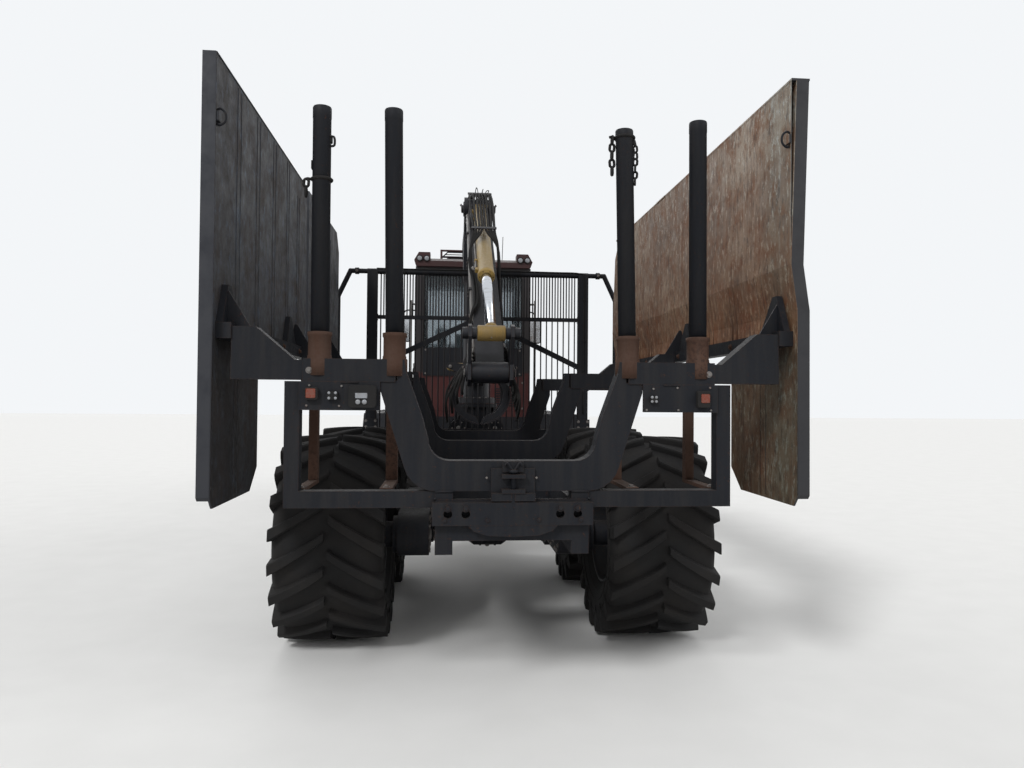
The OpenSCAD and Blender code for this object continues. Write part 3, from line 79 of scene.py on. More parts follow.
# Material helpers
class Tree:
    def __init__(self, name):
        self.material = bpy.data.materials.new(name)
        self.material.use_nodes = True
        self.tree = self.material.node_tree
        self.shader = self.tree.nodes["Principled BSDF"]
        self.coords = self.tree.nodes.new("ShaderNodeTexCoord").outputs["Object"]

    def node(self, kind, **values):
        made = self.tree.nodes.new(kind)
        for key, value in values.items():
            setattr(made, key, value)
        return made

    def link(self, a, b):
        self.tree.links.new(a, b)

    def stretched(self, x, y, z):
        mapping = self.node("ShaderNodeMapping")
        mapping.inputs["Scale"].default_value = (x, y, z)
        self.link(self.coords, mapping.inputs["Vector"])
        return mapping.outputs["Vector"]

    def noise(self, scale, detail=6, rough=0.6, coords=None):
        made = self.node("ShaderNodeTexNoise")
        made.inputs["Scale"].default_value = scale
        made.inputs["Detail"].default_value = detail
        made.inputs["Roughness"].default_value = rough
        self.link(coords or self.coords, made.inputs["Vector"])
        return made.outputs["Fac"]

    def ramp(self, value, *stops):
        made = self.node("ShaderNodeValToRGB")
        while len(made.color_ramp.elements) < len(stops):
            made.color_ramp.elements.new(0.5)
        for element, (at, color) in zip(made.color_ramp.elements, stops):
            element.position = at
            element.color = (*color, 1) if isinstance(color, tuple) else (color, color, color, 1)
        self.link(value, made.inputs["Fac"])
        return made.outputs["Color"]

    def mix(self, factor, a, b):
        made = self.node("ShaderNodeMix", data_type="RGBA")
        for value, name in ((factor, 0), (a, 6), (b, 7)):
            socket = made.inputs[name]
            if isinstance(value, bpy.types.NodeSocket):
                self.link(value, socket)
            elif name == 0:
                socket.default_value = value
            else:
                socket.default_value = (*value, 1)
        return made.outputs[2]

    def math(self, operation, a, b):
        made = self.node("ShaderNodeMath", operation=operation, use_clamp=True)
        for value, socket in zip((a, b), made.inputs):
            if isinstance(value, bpy.types.NodeSocket):
                self.link(value, socket)
            else:
                socket.default_value = value
        return made.outputs[0]

    def edges(self, radius):
        bevel = self.node("ShaderNodeBevel", samples=4)
        bevel.inputs["Radius"].default_value = radius
        geometry = self.node("ShaderNodeNewGeometry")
        dot = self.node("ShaderNodeVectorMath", operation="DOT_PRODUCT")
        self.link(bevel.outputs[0], dot.inputs[0])
        self.link(geometry.outputs["Normal"], dot.inputs[1])
        return self.ramp(dot.outputs["Value"], (0.80, 1.0), (0.995, 0.0))

    def upward(self):
        normal = self.node("ShaderNodeTexCoord").outputs["Normal"]
        split = self.node("ShaderNodeSeparateXYZ")
        self.link(normal, split.inputs[0])
        return self.ramp(split.outputs["Z"], (0.55, 0.0), (0.95, 1.0))

    def height(self, *stops):
        # Ramp over the object's own height, each stop given in metres
        split = self.node("ShaderNodeSeparateXYZ")
        self.link(self.coords, split.inputs[0])
        quarter = self.math("MULTIPLY", split.outputs["Z"], 0.25)
        return self.ramp(quarter, *[(z / 4, value) for z, value in stops])

    def shade(self, color, by):
        made = self.node("ShaderNodeMix", data_type="RGBA", blend_type="MULTIPLY")
        made.inputs[0].default_value = 1.0
        self.link(color, made.inputs[6])
        self.link(by, made.inputs[7])
        return made.outputs[2]

    def bump(self, height, strength, distance):
        made = self.node("ShaderNodeBump")
        made.inputs["Strength"].default_value = strength
        made.inputs["Distance"].default_value = distance
        self.link(height, made.inputs["Height"])
        self.link(made.outputs["Normal"], self.shader.inputs["Normal"])
        return made

    def set(self, name, value):
        socket = self.shader.inputs[name]
        if isinstance(value, bpy.types.NodeSocket):
            self.link(value, socket)
        else:
            socket.default_value = value
        return self


def paint(name, base, rust, dust, rust_at, dust_at, rough, edge, upper=None, shine=0.5):
    # Weathered paint: patches, run-off streaks, dust on upper faces, worn edges
    t = Tree(name)
    broad = t.noise(2.3, 5, 0.6)
    fine = t.noise(55, 6, 0.7)
    streak = t.noise(3.0, 6, 0.65, t.stretched(7, 7, 0.55))
    tone = t.mix(broad, tuple(c * 0.7 for c in base), tuple(min(1, c * 1.35) for c in base))
    if upper:
        tone = t.mix(t.height((upper[0], 0.0), (upper[0] + 0.03, 1.0)), tone, upper[1])
    spots = t.math("MULTIPLY", t.ramp(fine, (rust_at, 0.0), (rust_at + 0.10, 1.0)),
                   t.ramp(broad, (0.38, 0.0), (0.62, 1.0)))
    worn = t.math("MULTIPLY", t.edges(0.006), t.ramp(fine, (0.40, 0.0), (0.58, edge)))
    coat = t.mix(t.math("MAXIMUM", spots, worn), tone, rust)
    film = t.math("MULTIPLY", t.ramp(streak, (0.42, 0.0), (0.72, 1.0)), dust_at)
    top = t.math("MULTIPLY", t.upward(), min(0.8, dust_at * 1.6))
    t.set("Base Color", t.mix(t.math("MAXIMUM", film, top), coat, dust))
    t.set("Roughness", t.ramp(fine, (0.3, rough - 0.1), (0.7, rough + 0.14)))
    t.set("Specular IOR Level", shine)
    t.bump(fine, 0.16, 0.002)
    return t.material


def steel_plate(name, inward, shaded_skirt, low, middle, top, rear, front, outer):
    # Scuffed sheet: rust clouds, run-off streaks and short bright scratches, with painted light and shade
    # over its height and length; near black on its outer side, as dark paint and as painted shade on the rear
    # flanges
    t = Tree(name)
    clouds = t.noise(1.5, 8, 0.68)
    patches = t.noise(7.0, 8, 0.72)
    streak = t.noise(2.4, 8, 0.7, t.stretched(9, 9, 0.45))
    fine = t.noise(130, 6, 0.75)
    flecks = t.noise(30, 9, 0.78, t.stretched(1.2, 1, 0.42))
    slants = t.noise(19, 7, 0.7, t.stretched(1, 1.7, 0.55))
    base = t.ramp(clouds, (0.30, (0.095, 0.055, 0.036)), (0.45, (0.165, 0.098, 0.062)),
                  (0.58, (0.235, 0.158, 0.108)), (0.72, (0.31, 0.245, 0.19)))
    rusty = t.mix(t.ramp(patches, (0.47, 0.0), (0.62, 0.85)), base, (0.17, 0.066, 0.028))
    dark = t.mix(t.math("MULTIPLY", t.ramp(streak, (0.30, 1.0), (0.44, 0.0)), 0.75),
        rusty, (0.050, 0.032, 0.024))
    pale = t.mix(t.math("MULTIPLY", t.ramp(streak, (0.53, 0.0), (0.66, 1.0)), 0.45), dark, (0.36, 0.32, 0.28))
    holes = t.mix(t.math("MULTIPLY", t.ramp(slants, (0.38, 1.0), (0.47, 0.0)), 0.70),
        pale, (0.045, 0.028, 0.020))
    bright = t.mix(t.math("MULTIPLY", t.ramp(flecks, (0.535, 0.0), (0.60, 1.0)), 0.66),
        holes, (0.44, 0.395, 0.345))
    grain = t.mix(t.ramp(fine, (0.35, 0.35), (0.65, 0.0)), bright, (0.06, 0.035, 0.025))
    # Painted light and shade over the height, set by the skirt, low, middle and top stops, with some rust
    # brown low down
    with_painted_light = t.shade(grain, t.height((1.90, shaded_skirt), (2.02, low), (2.45, middle), (3.15, top)))
    # Painted light and shade along the length, set by the rear and front stops
    split = t.node("ShaderNodeSeparateXYZ")
    t.link(t.coords, split.inputs[0])
    along = t.math("MULTIPLY", t.math("ADD", split.outputs["Y"], 5.0), 0.25)
    with_painted_light = t.shade(with_painted_light, t.ramp(along, (0.07, rear), (0.12, (1.0, 1.0, 1.0)), (0.45, (1.0, 1.0, 1.0)),
        (0.70, front)))
    # Outer faces near black: dark paint, and painted shade on the rear flanges
    facing = t.node("ShaderNodeSeparateXYZ")
    t.link(t.node("ShaderNodeTexCoord").outputs["Normal"], facing.inputs[0])
    outer_paint_and_shade = t.ramp(t.math("MULTIPLY", facing.outputs["X"], inward), (0.30, 1.0), (0.55, 0.0))
    t.set("Base Color", t.mix(outer_paint_and_shade, with_painted_light, t.mix(patches, outer, tuple(c * 1.8 for c in outer))))
    t.set("Metallic", 0.2)
    t.set("Roughness", t.ramp(patches, (0.35, 0.52), (0.7, 0.86)))
    t.bump(t.mix(0.5, flecks, fine), 0.35, 0.003)
    return t.material


def rubber(name, base, dust, amount):
    # Dusty black rubber
    t = Tree(name)
    broad = t.noise(4.0, 6, 0.65)
    fine = t.noise(90, 6, 0.75)
    tone = t.mix(fine, tuple(c * 0.7 for c in base), tuple(c * 1.5 for c in base))
    dirt = t.math("MULTIPLY", t.ramp(broad, (0.40, 0.15), (0.66, 1.0)), amount)
    t.set("Base Color", t.mix(dirt, tone, dust))
    t.set("Roughness", t.ramp(broad, (0.3, 0.72), (0.7, 0.92)))
    t.set("Specular IOR Level", 0.22)
    t.bump(fine, 0.4, 0.003)
    return t.material


def chrome(name):
    t = Tree(name)
    fine = t.noise(60, 5, 0.6)
    film = t.noise(7, 6, 0.6, t.stretched(1, 1, 5))
    t.set("Base Color", t.mix(t.ramp(film, (0.52, 0.0), (0.72, 0.6)), (0.62, 0.64, 0.67), (0.30, 0.28, 0.25)))
    t.set("Metallic", 1.0)
    t.set("Roughness", t.ramp(fine, (0.3, 0.08), (0.7, 0.24)))
    t.bump(fine, 0.05, 0.0005)
    return t.material


def glass(name, tint, rough, clear=0.85):
    t = Tree(name)
    film = t.noise(5, 6, 0.6)
    t.set("Base Color", t.mix(film, tuple(c * 0.8 for c in tint), tint))
    t.set("Roughness", t.ramp(film, (0.3, rough), (0.75, rough + 0.16)))
    t.set("Transmission Weight", clear)
    t.set("IOR", 1.45)
    t.set("Alpha", 0.55 if clear > 0.5 else 1.0)
    return t.material


def lens(name, tint):
    # Ribbed lamp lens
    t = Tree(name)
    rib = t.node("ShaderNodeTexWave", wave_type="BANDS", bands_direction="X")
    rib.inputs["Scale"].default_value = 60
    t.link(t.coords, rib.inputs["Vector"])
    grime = t.noise(40, 6, 0.6)
    t.set("Base Color", t.mix(t.ramp(grime, (0.45, 0.0), (0.75, 0.55)), tint, (0.10, 0.08, 0.06)))
    t.set("Roughness", t.ramp(grime, (0.3, 0.16), (0.7, 0.4)))
    t.set("Coat Weight", 0.15)
    t.bump(rib.outputs["Fac"], 0.3, 0.001)
    return t.material


def seat_cloth(name):
    t = Tree(name)
    weave = t.node("ShaderNodeTexWave", wave_type="BANDS")
    weave.inputs["Scale"].default_value = 220
    t.link(t.coords, weave.inputs["Vector"])
    grime = t.noise(9, 6, 0.6)
    t.set("Base Color", t.mix(grime, (0.030, 0.031, 0.035), (0.075, 0.072, 0.070)))
    t.set("Roughness", t.ramp(grime, (0.3, 0.8), (0.7, 0.95)))
    t.set("Sheen Weight", 0.3)
    t.bump(weave.outputs["Fac"], 0.2, 0.0006)
    return t.material


RUST = (0.105, 0.042, 0.022)
DUST = (0.090, 0.078, 0.066)
SOOT = (0.032, 0.028, 0.025)

# Each paint: name, base, rust and dust colours, where rust starts, share of dust, roughness and edge wear
M = {
    "frame": paint("dark_frame_paint", (0.0075, 0.0085, 0.0115), (0.050, 0.023, 0.013), SOOT,
        0.60, 0.30, 0.60, 0.65, shine=0.18),
    "crane": paint("dark_crane_paint", (0.010, 0.011, 0.015), (0.085, 0.036, 0.020), SOOT,
        0.62, 0.26, 0.50, 0.6, shine=0.32),
    "body": paint("dark_red_paint", (0.046, 0.0065, 0.006), (0.035, 0.019, 0.014), SOOT,
        0.66, 0.30, 0.46, 0.5, upper=(1.985, (0.016, 0.013, 0.014)), shine=0.4),
    "hood": paint("dark_red_hood_paint", (0.062, 0.008, 0.007), (0.04, 0.021, 0.015), SOOT,
        0.66, 0.30, 0.46, 0.5, shine=0.4),
    "roof": paint("dark_roof_paint", (0.030, 0.007, 0.007), (0.035, 0.019, 0.014), SOOT,
        0.64, 0.30, 0.5, 0.5, shine=0.35),
    "trim": paint("dark_moulded_plastic", (0.017, 0.018, 0.020), (0.050, 0.047, 0.044), DUST,
        0.66, 0.20, 0.55, 0.5, shine=0.35),
    "rust": paint("rusty_bar", (0.050, 0.024, 0.015), (0.024, 0.013, 0.010), DUST,
        0.50, 0.15, 0.78, 0.4, shine=0.25),
    "yellow": paint("dirty_yellow_paint", (0.30, 0.200, 0.052), (0.09, 0.048, 0.024), (0.14, 0.105, 0.055),
        0.60, 0.40, 0.46, 0.8, shine=0.4),
    "ochre": paint("ochre_eye_paint", (0.25, 0.165, 0.050), (0.090, 0.045, 0.022), (0.15, 0.12, 0.08),
        0.56, 0.45, 0.55, 0.8, shine=0.3),
    # Right plate: rusty steel with painted light and shade, lighter at the top, darker below the rail and
    # towards the front
    "plate": steel_plate(
        "rusty_sheet_steel_with_painted_light", inward=-1, shaded_skirt=(0.60, 0.60, 0.52), low=(1.05, 0.74, 0.50),
        middle=(0.98, 0.86, 0.72), top=(1.20, 1.24, 1.22), rear=(0.92, 1.10, 1.22),
        front=(0.42, 0.33, 0.26), outer=(0.013, 0.013, 0.015)),
    # Left plate: the same steel darkened and blued all over as painted shade, darker still at its rear edge
    "plate_in_painted_shade": steel_plate(
        "sheet_steel_in_painted_shade", inward=1, shaded_skirt=(0.11, 0.15, 0.22), low=(0.16, 0.24, 0.38),
        middle=(0.20, 0.31, 0.50), top=(0.16, 0.24, 0.38), rear=(0.62, 0.62, 0.66),
        front=(1.0, 1.0, 1.0), outer=(0.013, 0.014, 0.018)),
    "tyre": rubber("muddy_tyre_rubber", (0.0075, 0.0075, 0.008), (0.038, 0.033, 0.029), 0.30),
    "hose": rubber("hose_rubber", (0.0075, 0.0075, 0.008), (0.045, 0.040, 0.036), 0.25),
    "chrome": chrome("hard_chrome"),
    "glass": glass("tinted_glass", (0.20, 0.25, 0.28), 0.02),
    "glass_dark": glass("dark_screen_glass", (0.02, 0.022, 0.025), 0.06, 0.1),
    "red": lens("red_lens", (0.15, 0.024, 0.008)),
    "white": lens("clear_lens", (0.24, 0.25, 0.27)),
    "seat": seat_cloth("dark_seat_cloth"),
    "engine": paint("engine_paint", (0.070, 0.070, 0.074), RUST, (0.05, 0.042, 0.037), 0.58, 0.3, 0.6, 0.5),
    "rim": paint("dark_rim_paint", (0.014, 0.015, 0.018), (0.070, 0.030, 0.017), SOOT,
        0.56, 0.35, 0.55, 0.6, shine=0.3),
    "bare": paint("bare_worn_steel", (0.125, 0.120, 0.115), RUST, DUST, 0.55, 0.25, 0.45, 0.6),
}


def dress(node, material):
    mesh = nodes[node].data
    mesh.materials.clear()
    mesh.materials.append(M[material])


NODE_LOOKS = {
    "frame": ["rear_chassis", "rear_axle", "rear_bunk", "mid_bunks", "stakes", "arms_left", "arms_right",
        "light_frame", "gate", "crane_base", "front_chassis", "front_axle", "fenders", "front_guard",
        "rear_lamps"],
    "crane": ["crane_pillar", "main_boom", "jib", "jib_extension", "tip_link", "rotator", "grapple_frame",
              "jaw_left", "jaw_right"],
    "body": ["cab_shell", "cab_door"],
    "hood": ["bonnet"],
    "roof": ["cab_roof", "exhaust"],
    "yellow": ["lift_barrel", "boom_barrel", "grapple_barrel", "steer_barrel_left", "steer_barrel_right"],
    "chrome": ["lift_rod", "boom_rod", "grapple_rod", "steer_rod_left", "steer_rod_right"],
    "plate": ["panel_right"],
    "plate_in_painted_shade": ["panel_left"],
    "glass": ["cab_glass", "door_glass"],
    "seat": ["cab_seat"],
    "engine": ["engine"],
}
for look, names in NODE_LOOKS.items():
    for name in names:
        dress(name, look)
for name in nodes:
    if name.startswith("wheel"):
        dress(name, "tyre")


# Mesh helpers: each returns (points, faces)
def revolve(profile, steps, closed=False):
    # Profile of (x, r) turned about X
    points, faces = [], []
    for i in range(steps):
        a = 2 * math.pi * i / steps
        points += [(x, r * math.cos(a), r * math.sin(a)) for x, r in profile]
    n = len(profile)
    for i in range(steps):
        j = (i + 1) % steps
        for k in range(n if closed else n - 1):
            m = (k + 1) % n
            faces.append((i * n + k, i * n + m, j * n + m, j * n + k))
    return points, faces


def turned(profile, steps):
    # Profile of (r, z) turned about Z, its ends on the axis
    points, faces = [], []
    body = profile[1:-1]
    for i in range(steps):
        a = 2 * math.pi * i / steps
        points += [(r * math.cos(a), r * math.sin(a), z) for r, z in body]
    n = len(body)
    low, high = len(points), len(points) + 1
    points += [(0, 0, profile[0][1]), (0, 0, profile[-1][1])]
    for i in range(steps):
        j = (i + 1) % steps
        faces.append((low, j * n, i * n))
        faces.append((high, i * n + n - 1, j * n + n - 1))
        for k in range(n - 1):
            faces.append((i * n + k, j * n + k, j * n + k + 1, i * n + k + 1))
    return points, faces


def prism(outline, low, high, chamfer=0.0):
    # Outline of (x, y) drawn from low to high along Z, its ends drawn in by the chamfer
    cx = sum(p[0] for p in outline) / len(outline)
    cy = sum(p[1] for p in outline) / len(outline)
    rings = [(low, 0), (high, 0)]
    if chamfer:
        rings = [(low, 1), (low + chamfer, 0), (high - chamfer, 0), (high, 1)]
    points = []
    for z, inner in rings:
        for x, y in outline:
            d = math.hypot(x - cx, y - cy) or 1
            k = 1 - inner * chamfer / d
            points.append((cx + (x - cx) * k, cy + (y - cy) * k, z))
    n = len(outline)
    faces = [tuple(range(n - 1, -1, -1)), tuple(range(n * (len(rings) - 1), n * len(rings)))]
    for r in range(len(rings) - 1):
        for i in range(n):
            j = (i + 1) % n
            faces.append((r * n + i, r * n + j, (r + 1) * n + j, (r + 1) * n + i))
    return points, faces


def arc(r, degrees):
    # Points of a circle at the given angles
    return [(r * math.cos(math.radians(a)), r * math.sin(math.radians(a))) for a in degrees]


def circle(r, count, start=0):
    # Evenly spaced points of a circle, the first one at the start
    return arc(r, [360 / count * k + start for k in range(count)])


def rounded(w, h, r, steps=4):
    # Outline of a rectangle with round corners
    out = []
    x, y = w / 2 - r, h / 2 - r
    for cx, cy, start in ((x, y, 0), (-x, y, 90), (-x, -y, 180), (x, -y, 270)):
        turns = [start + 90 * i / steps for i in range(steps + 1)]
        out += [(cx + c, cy + s) for c, s in arc(r, turns)]
    return out


def slab(low, high, chamfer=0.003):
    # Plate between two corners with small rounded edges
    w, d, h = (high[i] - low[i] for i in range(3))
    r = min(chamfer, w / 3, d / 3, h / 3)
    points, faces = prism(rounded(w, d, r, 2), 0, h, r * 0.6)
    cx, cy = (low[0] + high[0]) / 2, (low[1] + high[1]) / 2
    return [(x + cx, y + cy, z + low[2]) for x, y, z in points], faces


def smooth_path(points, steps):
    # Catmull-Rom curve through the points
    pts = [Vector(p) for p in points]
    ends = [pts[0] * 2 - pts[1]] + pts + [pts[-1] * 2 - pts[-2]]
    out = []
    for i in range(1, len(ends) - 2):
        a, b, c, d = ends[i - 1:i + 3]
        for k in range(steps):
            t = k / steps
            out.append(0.5 * ((2 * b) + (c - a) * t + (2 * a - 5 * b + 4 * c - d) * t * t
                + (3 * b - 3 * c + d - a) * t ** 3))
    out.append(pts[-1])
    return out


def tube(points, radius, sides, steps):
    # Round hose or bar along a smooth path
    path = smooth_path(points, steps) if steps > 1 else [Vector(p) for p in points]
    tangent = (path[1] - path[0]).normalized()
    side = tangent.orthogonal().normalized()
    out, faces = [], []
    for i, p in enumerate(path):
        ahead = path[min(i + 1, len(path) - 1)] - path[max(i - 1, 0)]
        new = ahead.normalized()
        side = (side - new * side.dot(new)).normalized()
        up = new.cross(side)
        for k in range(sides):
            a = 2 * math.pi * k / sides
            out.append(tuple(p + (side * math.cos(a) + up * math.sin(a)) * radius))
    n = len(path)
    for i in range(n - 1):
        for k in range(sides):
            m = (k + 1) % sides
            faces.append((i * sides + k, i * sides + m, (i + 1) * sides + m, (i + 1) * sides + k))
    faces.append(tuple(range(sides - 1, -1, -1)))
    faces.append(tuple(range((n - 1) * sides, n * sides)))
    return out, faces


def hexagon(r):
    return circle(r, 6)


def band(r0, r1, z0, z1):
    # Profile of a flat ring
    return [(r0, z0), (r1, z0), (r1, z1), (r0, z1)]


def knob(r, h, tip_r, tip_h):
    # Profile of a round head with a chamfered tip
    return [(0, 0), (r, 0), (r, h), (tip_r, tip_h), (0, tip_h)]


def bolt(size, washer=True):
    # Hexagon head on a washer, standing on the XY plane
    points, faces = prism(hexagon(size), 0.18 * size if washer else 0, size, 0.16 * size)
    if washer:
        more, more_faces = prism(circle(1.55 * size, 15), 0, 0.2 * size)
        n = len(points)
        points = points + more
        faces = faces + [tuple(i + n for i in f) for f in more_faces]
    return points, faces


# Placements; UPRIGHT stands a flat outline up, with its Y as the height
move = Matrix.Translation
UPRIGHT = Matrix(((1, 0, 0), (0, 0, -1), (0, 1, 0))).to_4x4()


def rotated(angle, axis):
    return Matrix.Rotation(angle, 4, axis)


def toward(direction, at):
    # Placement that turns local Z to the direction
    return move(at) @ Vector(direction).to_track_quat("Z", "Y").to_matrix().to_4x4()


class Piece:
    # One mesh of many parts, with its own looks
    def __init__(self, name):
        self.name = name
        self.mesh = bmesh.new()
        self.looks = []

    def add(self, look, shape, place=None, smooth=False):
        if look not in self.looks:
            self.looks.append(look)
        slot = self.looks.index(look)
        points, faces = shape
        verts = [self.mesh.verts.new(place @ Vector(p) if place else p) for p in points]
        for f in faces:
            face = self.mesh.faces.new([verts[i] for i in f])
            face.material_index = slot
            face.smooth = smooth
        return self

    # Common parts: smooth pipes and turned shapes, plates and bare bolts
    def pipe(self, look, points, radius, sides, steps, place=None):
        self.add(look, tube(points, radius, sides, steps), place, True)

    def lathe(self, look, profile, steps, place):
        self.add(look, turned(profile, steps), place, True)

    def hoop(self, look, profile, steps, place):
        self.add(look, ring(profile, steps), place, True)

    def plate(self, look, low, high, chamfer):
        self.add(look, slab(low, high, chamfer))

    def screw(self, at, direction, size, washer=True):
        self.add("bare", bolt(size, washer), toward(direction, at))

    def stud(self, at, size):
        # Bolt standing upright
        self.add("bare", bolt(size), move(at))

    def nut(self, r, low, high, chamfer, place):
        self.add("bare", prism(hexagon(r), low, high, chamfer), place)

    def bolts(self, places, direction, size):
        for at in places:
            self.screw(at, direction, size)

    def done(self, body, replaces=(), at=None):
        bmesh.ops.recalc_face_normals(self.mesh, faces=self.mesh.faces[:])
        data = bpy.data.meshes.new(self.name)
        self.mesh.to_mesh(data)
        self.mesh.free()
        for look in self.looks:
            data.materials.append(M[look])
        made = bpy.data.objects.new(self.name, data)
        scene.collection.objects.link(made)
        if at:
            made.location = at
        bpy.context.view_layer.update()
        if body:
            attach(made, body)
        if replaces:
            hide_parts(*replaces)
        return made


def frame_at(at, along, across):
    # Placement with local Z along one direction and local X across it
    z = Vector(along).normalized()
    x = Vector(across).normalized()
    return move(at) @ Matrix((x, z.cross(x), z)).transposed().to_4x4()


def ring(profile, steps):
    # Closed profile of (r, z) turned about Z
    points, faces = revolve([(z, r) for r, z in profile], steps, True)
    return [(y, z, x) for x, y, z in points], faces


def eye_ring(r, hole, w, steps=32):
    # Bored eye along its own Z, with rounded rims
    c = min(0.006, w * 0.08)
    return ring([(hole, -w / 2 + 0.001), (r - c, -w / 2), (r, c - w / 2), (r, w / 2 - c), (r - c, w / 2),
        (hole, w / 2 - 0.001)], steps)


def pin_bar(r, l):
    # Plain pin along its own Z, with chamfered ends
    c = r * 0.16
    return turned([(0, -l / 2), (r - c, -l / 2), (r, c - l / 2), (r, l / 2 - c), (r - c, l / 2), (0, l / 2)],
        28)


def weld(p, points, r=0.0045, look="crane"):
    # Straight bead from point to point
    p.pipe(look, points, r, 6, 1)


def Y(station):
    return BUNK_Y + station


# Tyres with slanted lugs, dished rims and hub nuts
TYRE_R, LUGS = 0.700, 20
CARCASS = [(0.0, 0.655), (0.09, 0.6555), (0.18, 0.655), (0.25, 0.651), (0.30, 0.640), (0.328, 0.618),
    (0.342, 0.585), (0.346, 0.54), (0.344, 0.49), (0.335, 0.44), (0.320, 0.40), (0.304, 0.372),
    (0.296, 0.356), (0.290, 0.347)]


def tyre_lug(phase, side):
    # Slanted bar from the tread's middle over the shoulder
    rows = []
    for k in range(9):
        u = k / 8
        x = 0.012 + 0.338 * u
        base = 0.640 if u < 0.75 else 0.640 - 0.09 * ((u - 0.75) / 0.25) ** 1.5
        top = TYRE_R - 0.012 * u * u
        rows.append((x, base, top, 0.30 * u ** 0.9, 0.023 + 0.012 * u, 0.031 + 0.013 * u))
    rows.append((0.3535, 0.56, 0.652, 0.302, 0.033, 0.042))
    rows.append((0.3540, 0.52, 0.600, 0.304, 0.028, 0.036))
    rows.append((0.3480, 0.50, 0.545, 0.306, 0.020, 0.026))
    points, faces = [], []
    for x, base, top, swing, half_top, half_base in rows:
        for r, half in ((base, half_base), (top - 0.010, half_top + 0.004), (top, half_top - 0.003),
                        (top, 0.003 - half_top), (top - 0.010, -half_top - 0.004), (base, -half_base)):
            a = phase + swing + half / TYRE_R
            points.append((side * x, r * math.cos(a), r * math.sin(a)))
    n = 6
    for i in range(len(rows) - 1):
        for k in range(n - 1):
            faces.append((i * n + k, i * n + k + 1, (i + 1) * n + k + 1, (i + 1) * n + k))
        faces.append((i * n + n - 1, i * n, (i + 1) * n, (i + 1) * n + n - 1))
    faces.append(tuple(range(n)))
    faces.append(tuple(range((len(rows) - 1) * n, len(rows) * n)))
    return points, faces


def wheel_piece(name, side):
    p = Piece(name)
    half = CARCASS[1:]
    skin = [(-x, r) for x, r in reversed(half)] + [CARCASS[0]] + half
    inner = [(0.286, 0.335), (0.0, 0.330), (-0.286, 0.335)]
    p.add("tyre", revolve(skin + inner, 96, True), None, True)
    for i in range(LUGS):
        p.add("tyre", tyre_lug(2 * math.pi * i / LUGS, 1))
        p.add("tyre", tyre_lug(2 * math.pi * (i + 0.5) / LUGS, -1))
    for x, r in ((0.347, 0.545), (0.341, 0.47), (0.322, 0.41)):
        for s in (-1, 1):
            bead = [(s * (x - 0.004), r + 0.006), (s * (x + 0.004), r + 0.002), (s * (x + 0.004), r - 0.002),
                    (s * (x - 0.004), r - 0.006)]
            p.add("tyre", revolve(bead, 72, True), None, True)
    rim = [(0.296, 0.352), (0.300, 0.342), (0.292, 0.328), (0.262, 0.322), (0.240, 0.306), (0.130, 0.298),
        (0.075, 0.286), (0.056, 0.270), (0.030, 0.205), (0.022, 0.182), (0.062, 0.158), (0.070, 0.150),
        (0.088, 0.140), (0.092, 0.128), (0.092, 0.0001), (-0.064, 0.0001), (-0.064, 0.0915), (-0.130, 0.0915),
        (-0.130, 0.150), (-0.045, 0.190), (-0.014, 0.285), (-0.200, 0.300), (-0.262, 0.322), (-0.292, 0.328),
        (-0.300, 0.342), (-0.296, 0.352), (-0.280, 0.336), (0.0, 0.332), (0.280, 0.336)]
    p.add("rim", revolve([(side * x, r) for x, r in rim], 72, True), None, True)
    for x, r, count, start, size in ((0.0285, 0.232, 12, 0, 0.016), (0.0915, 0.100, 8, 10, 0.011)):
        for c, s in circle(r, count, start):
            p.screw((side * x, c, s), (side, 0, 0), size)
    valve = [(side * x, y, 0.02) for x, y in ((0.10, 0.30), (0.15, 0.288), (0.19, 0.270))]
    p.add("tyre", tube(valve, 0.008, 8, 3))
    cap = [(0, 0), (0.045, 0), (0.048, 0.012), (0.030, 0.02), (0, 0.021)]
    p.add("rim", turned(cap, 20), toward((side, 0, 0), (side * 0.091, 0, 0)))
    return p


for end, axle_at in (("rear", REAR_AXLE), ("front", FRONT_AXLE)):
    for letter, side in (("l", -1), ("r", 1)):
        for number, shift in ((1, -AXLE_SHIFT), (2, AXLE_SHIFT)):
            label = "%s_%s%d" % (end, letter, number)
            wheel_piece("tyre_" + label, side).done(
                "wheel_%s_body" % label, ["wheel_" + label], (side * WHEEL_X, Y(axle_at + shift), WHEEL_Z))


# Crane plane: points as (distance along, height above), x to the side
def line_frame(start, end):
    # Start of a line in the crane's plane and its direction
    start, end = Vector(start), Vector(end)
    along = (end - start).normalized()
    return start, along


FOOT, KNUCKLE, TIP = (4.60, 3.82), (2.06, 1.87), (3.73, 2.60)
LEVER = (1.90, 2.17)
BARREL_FOOT = (4.05, 3.675)


def boom_at(a, u, x=0.0):
    start, along = line_frame(FOOT, KNUCKLE)
    p = start + along * a + Vector((along[1], -along[0])) * u
    return (x, Y(p[0]), p[1])


def jib_at(a, u, x=0.0):
    start, along = line_frame(KNUCKLE, TIP)
    p = start + along * a + Vector((-along[1], along[0])) * u
    return (x, Y(p[0]), p[1])


JIB_L = math.dist(KNUCKLE, TIP)
HOSE_SIZES = (0.011, 0.012, 0.013)


def boom_path(*points):
    return [boom_at(*p) for p in points]


def jib_path(*points):
    return [jib_at(*p) for p in points]


def crane_hose_x(k):
    # Place across the crane of hose k of eight
    return -0.098 + 0.028 * k


def pillar_bow(x):
    # How far ahead of the pillar's middle a hose lies on its round front
    return math.sqrt(max(0.0, 0.152 ** 2 - (x * 0.9) ** 2)) + 0.012


def path_y(*points):
    # Points with the station as their second value
    return [(x, Y(s), z) for x, s, z in points]


def window(x, s0, s1, z0, z1):
    # Corners of an opening in a side wall
    return path_y((x, s0, z0), (x, s1, z0), (x, s1, z1), (x, s0, z1))


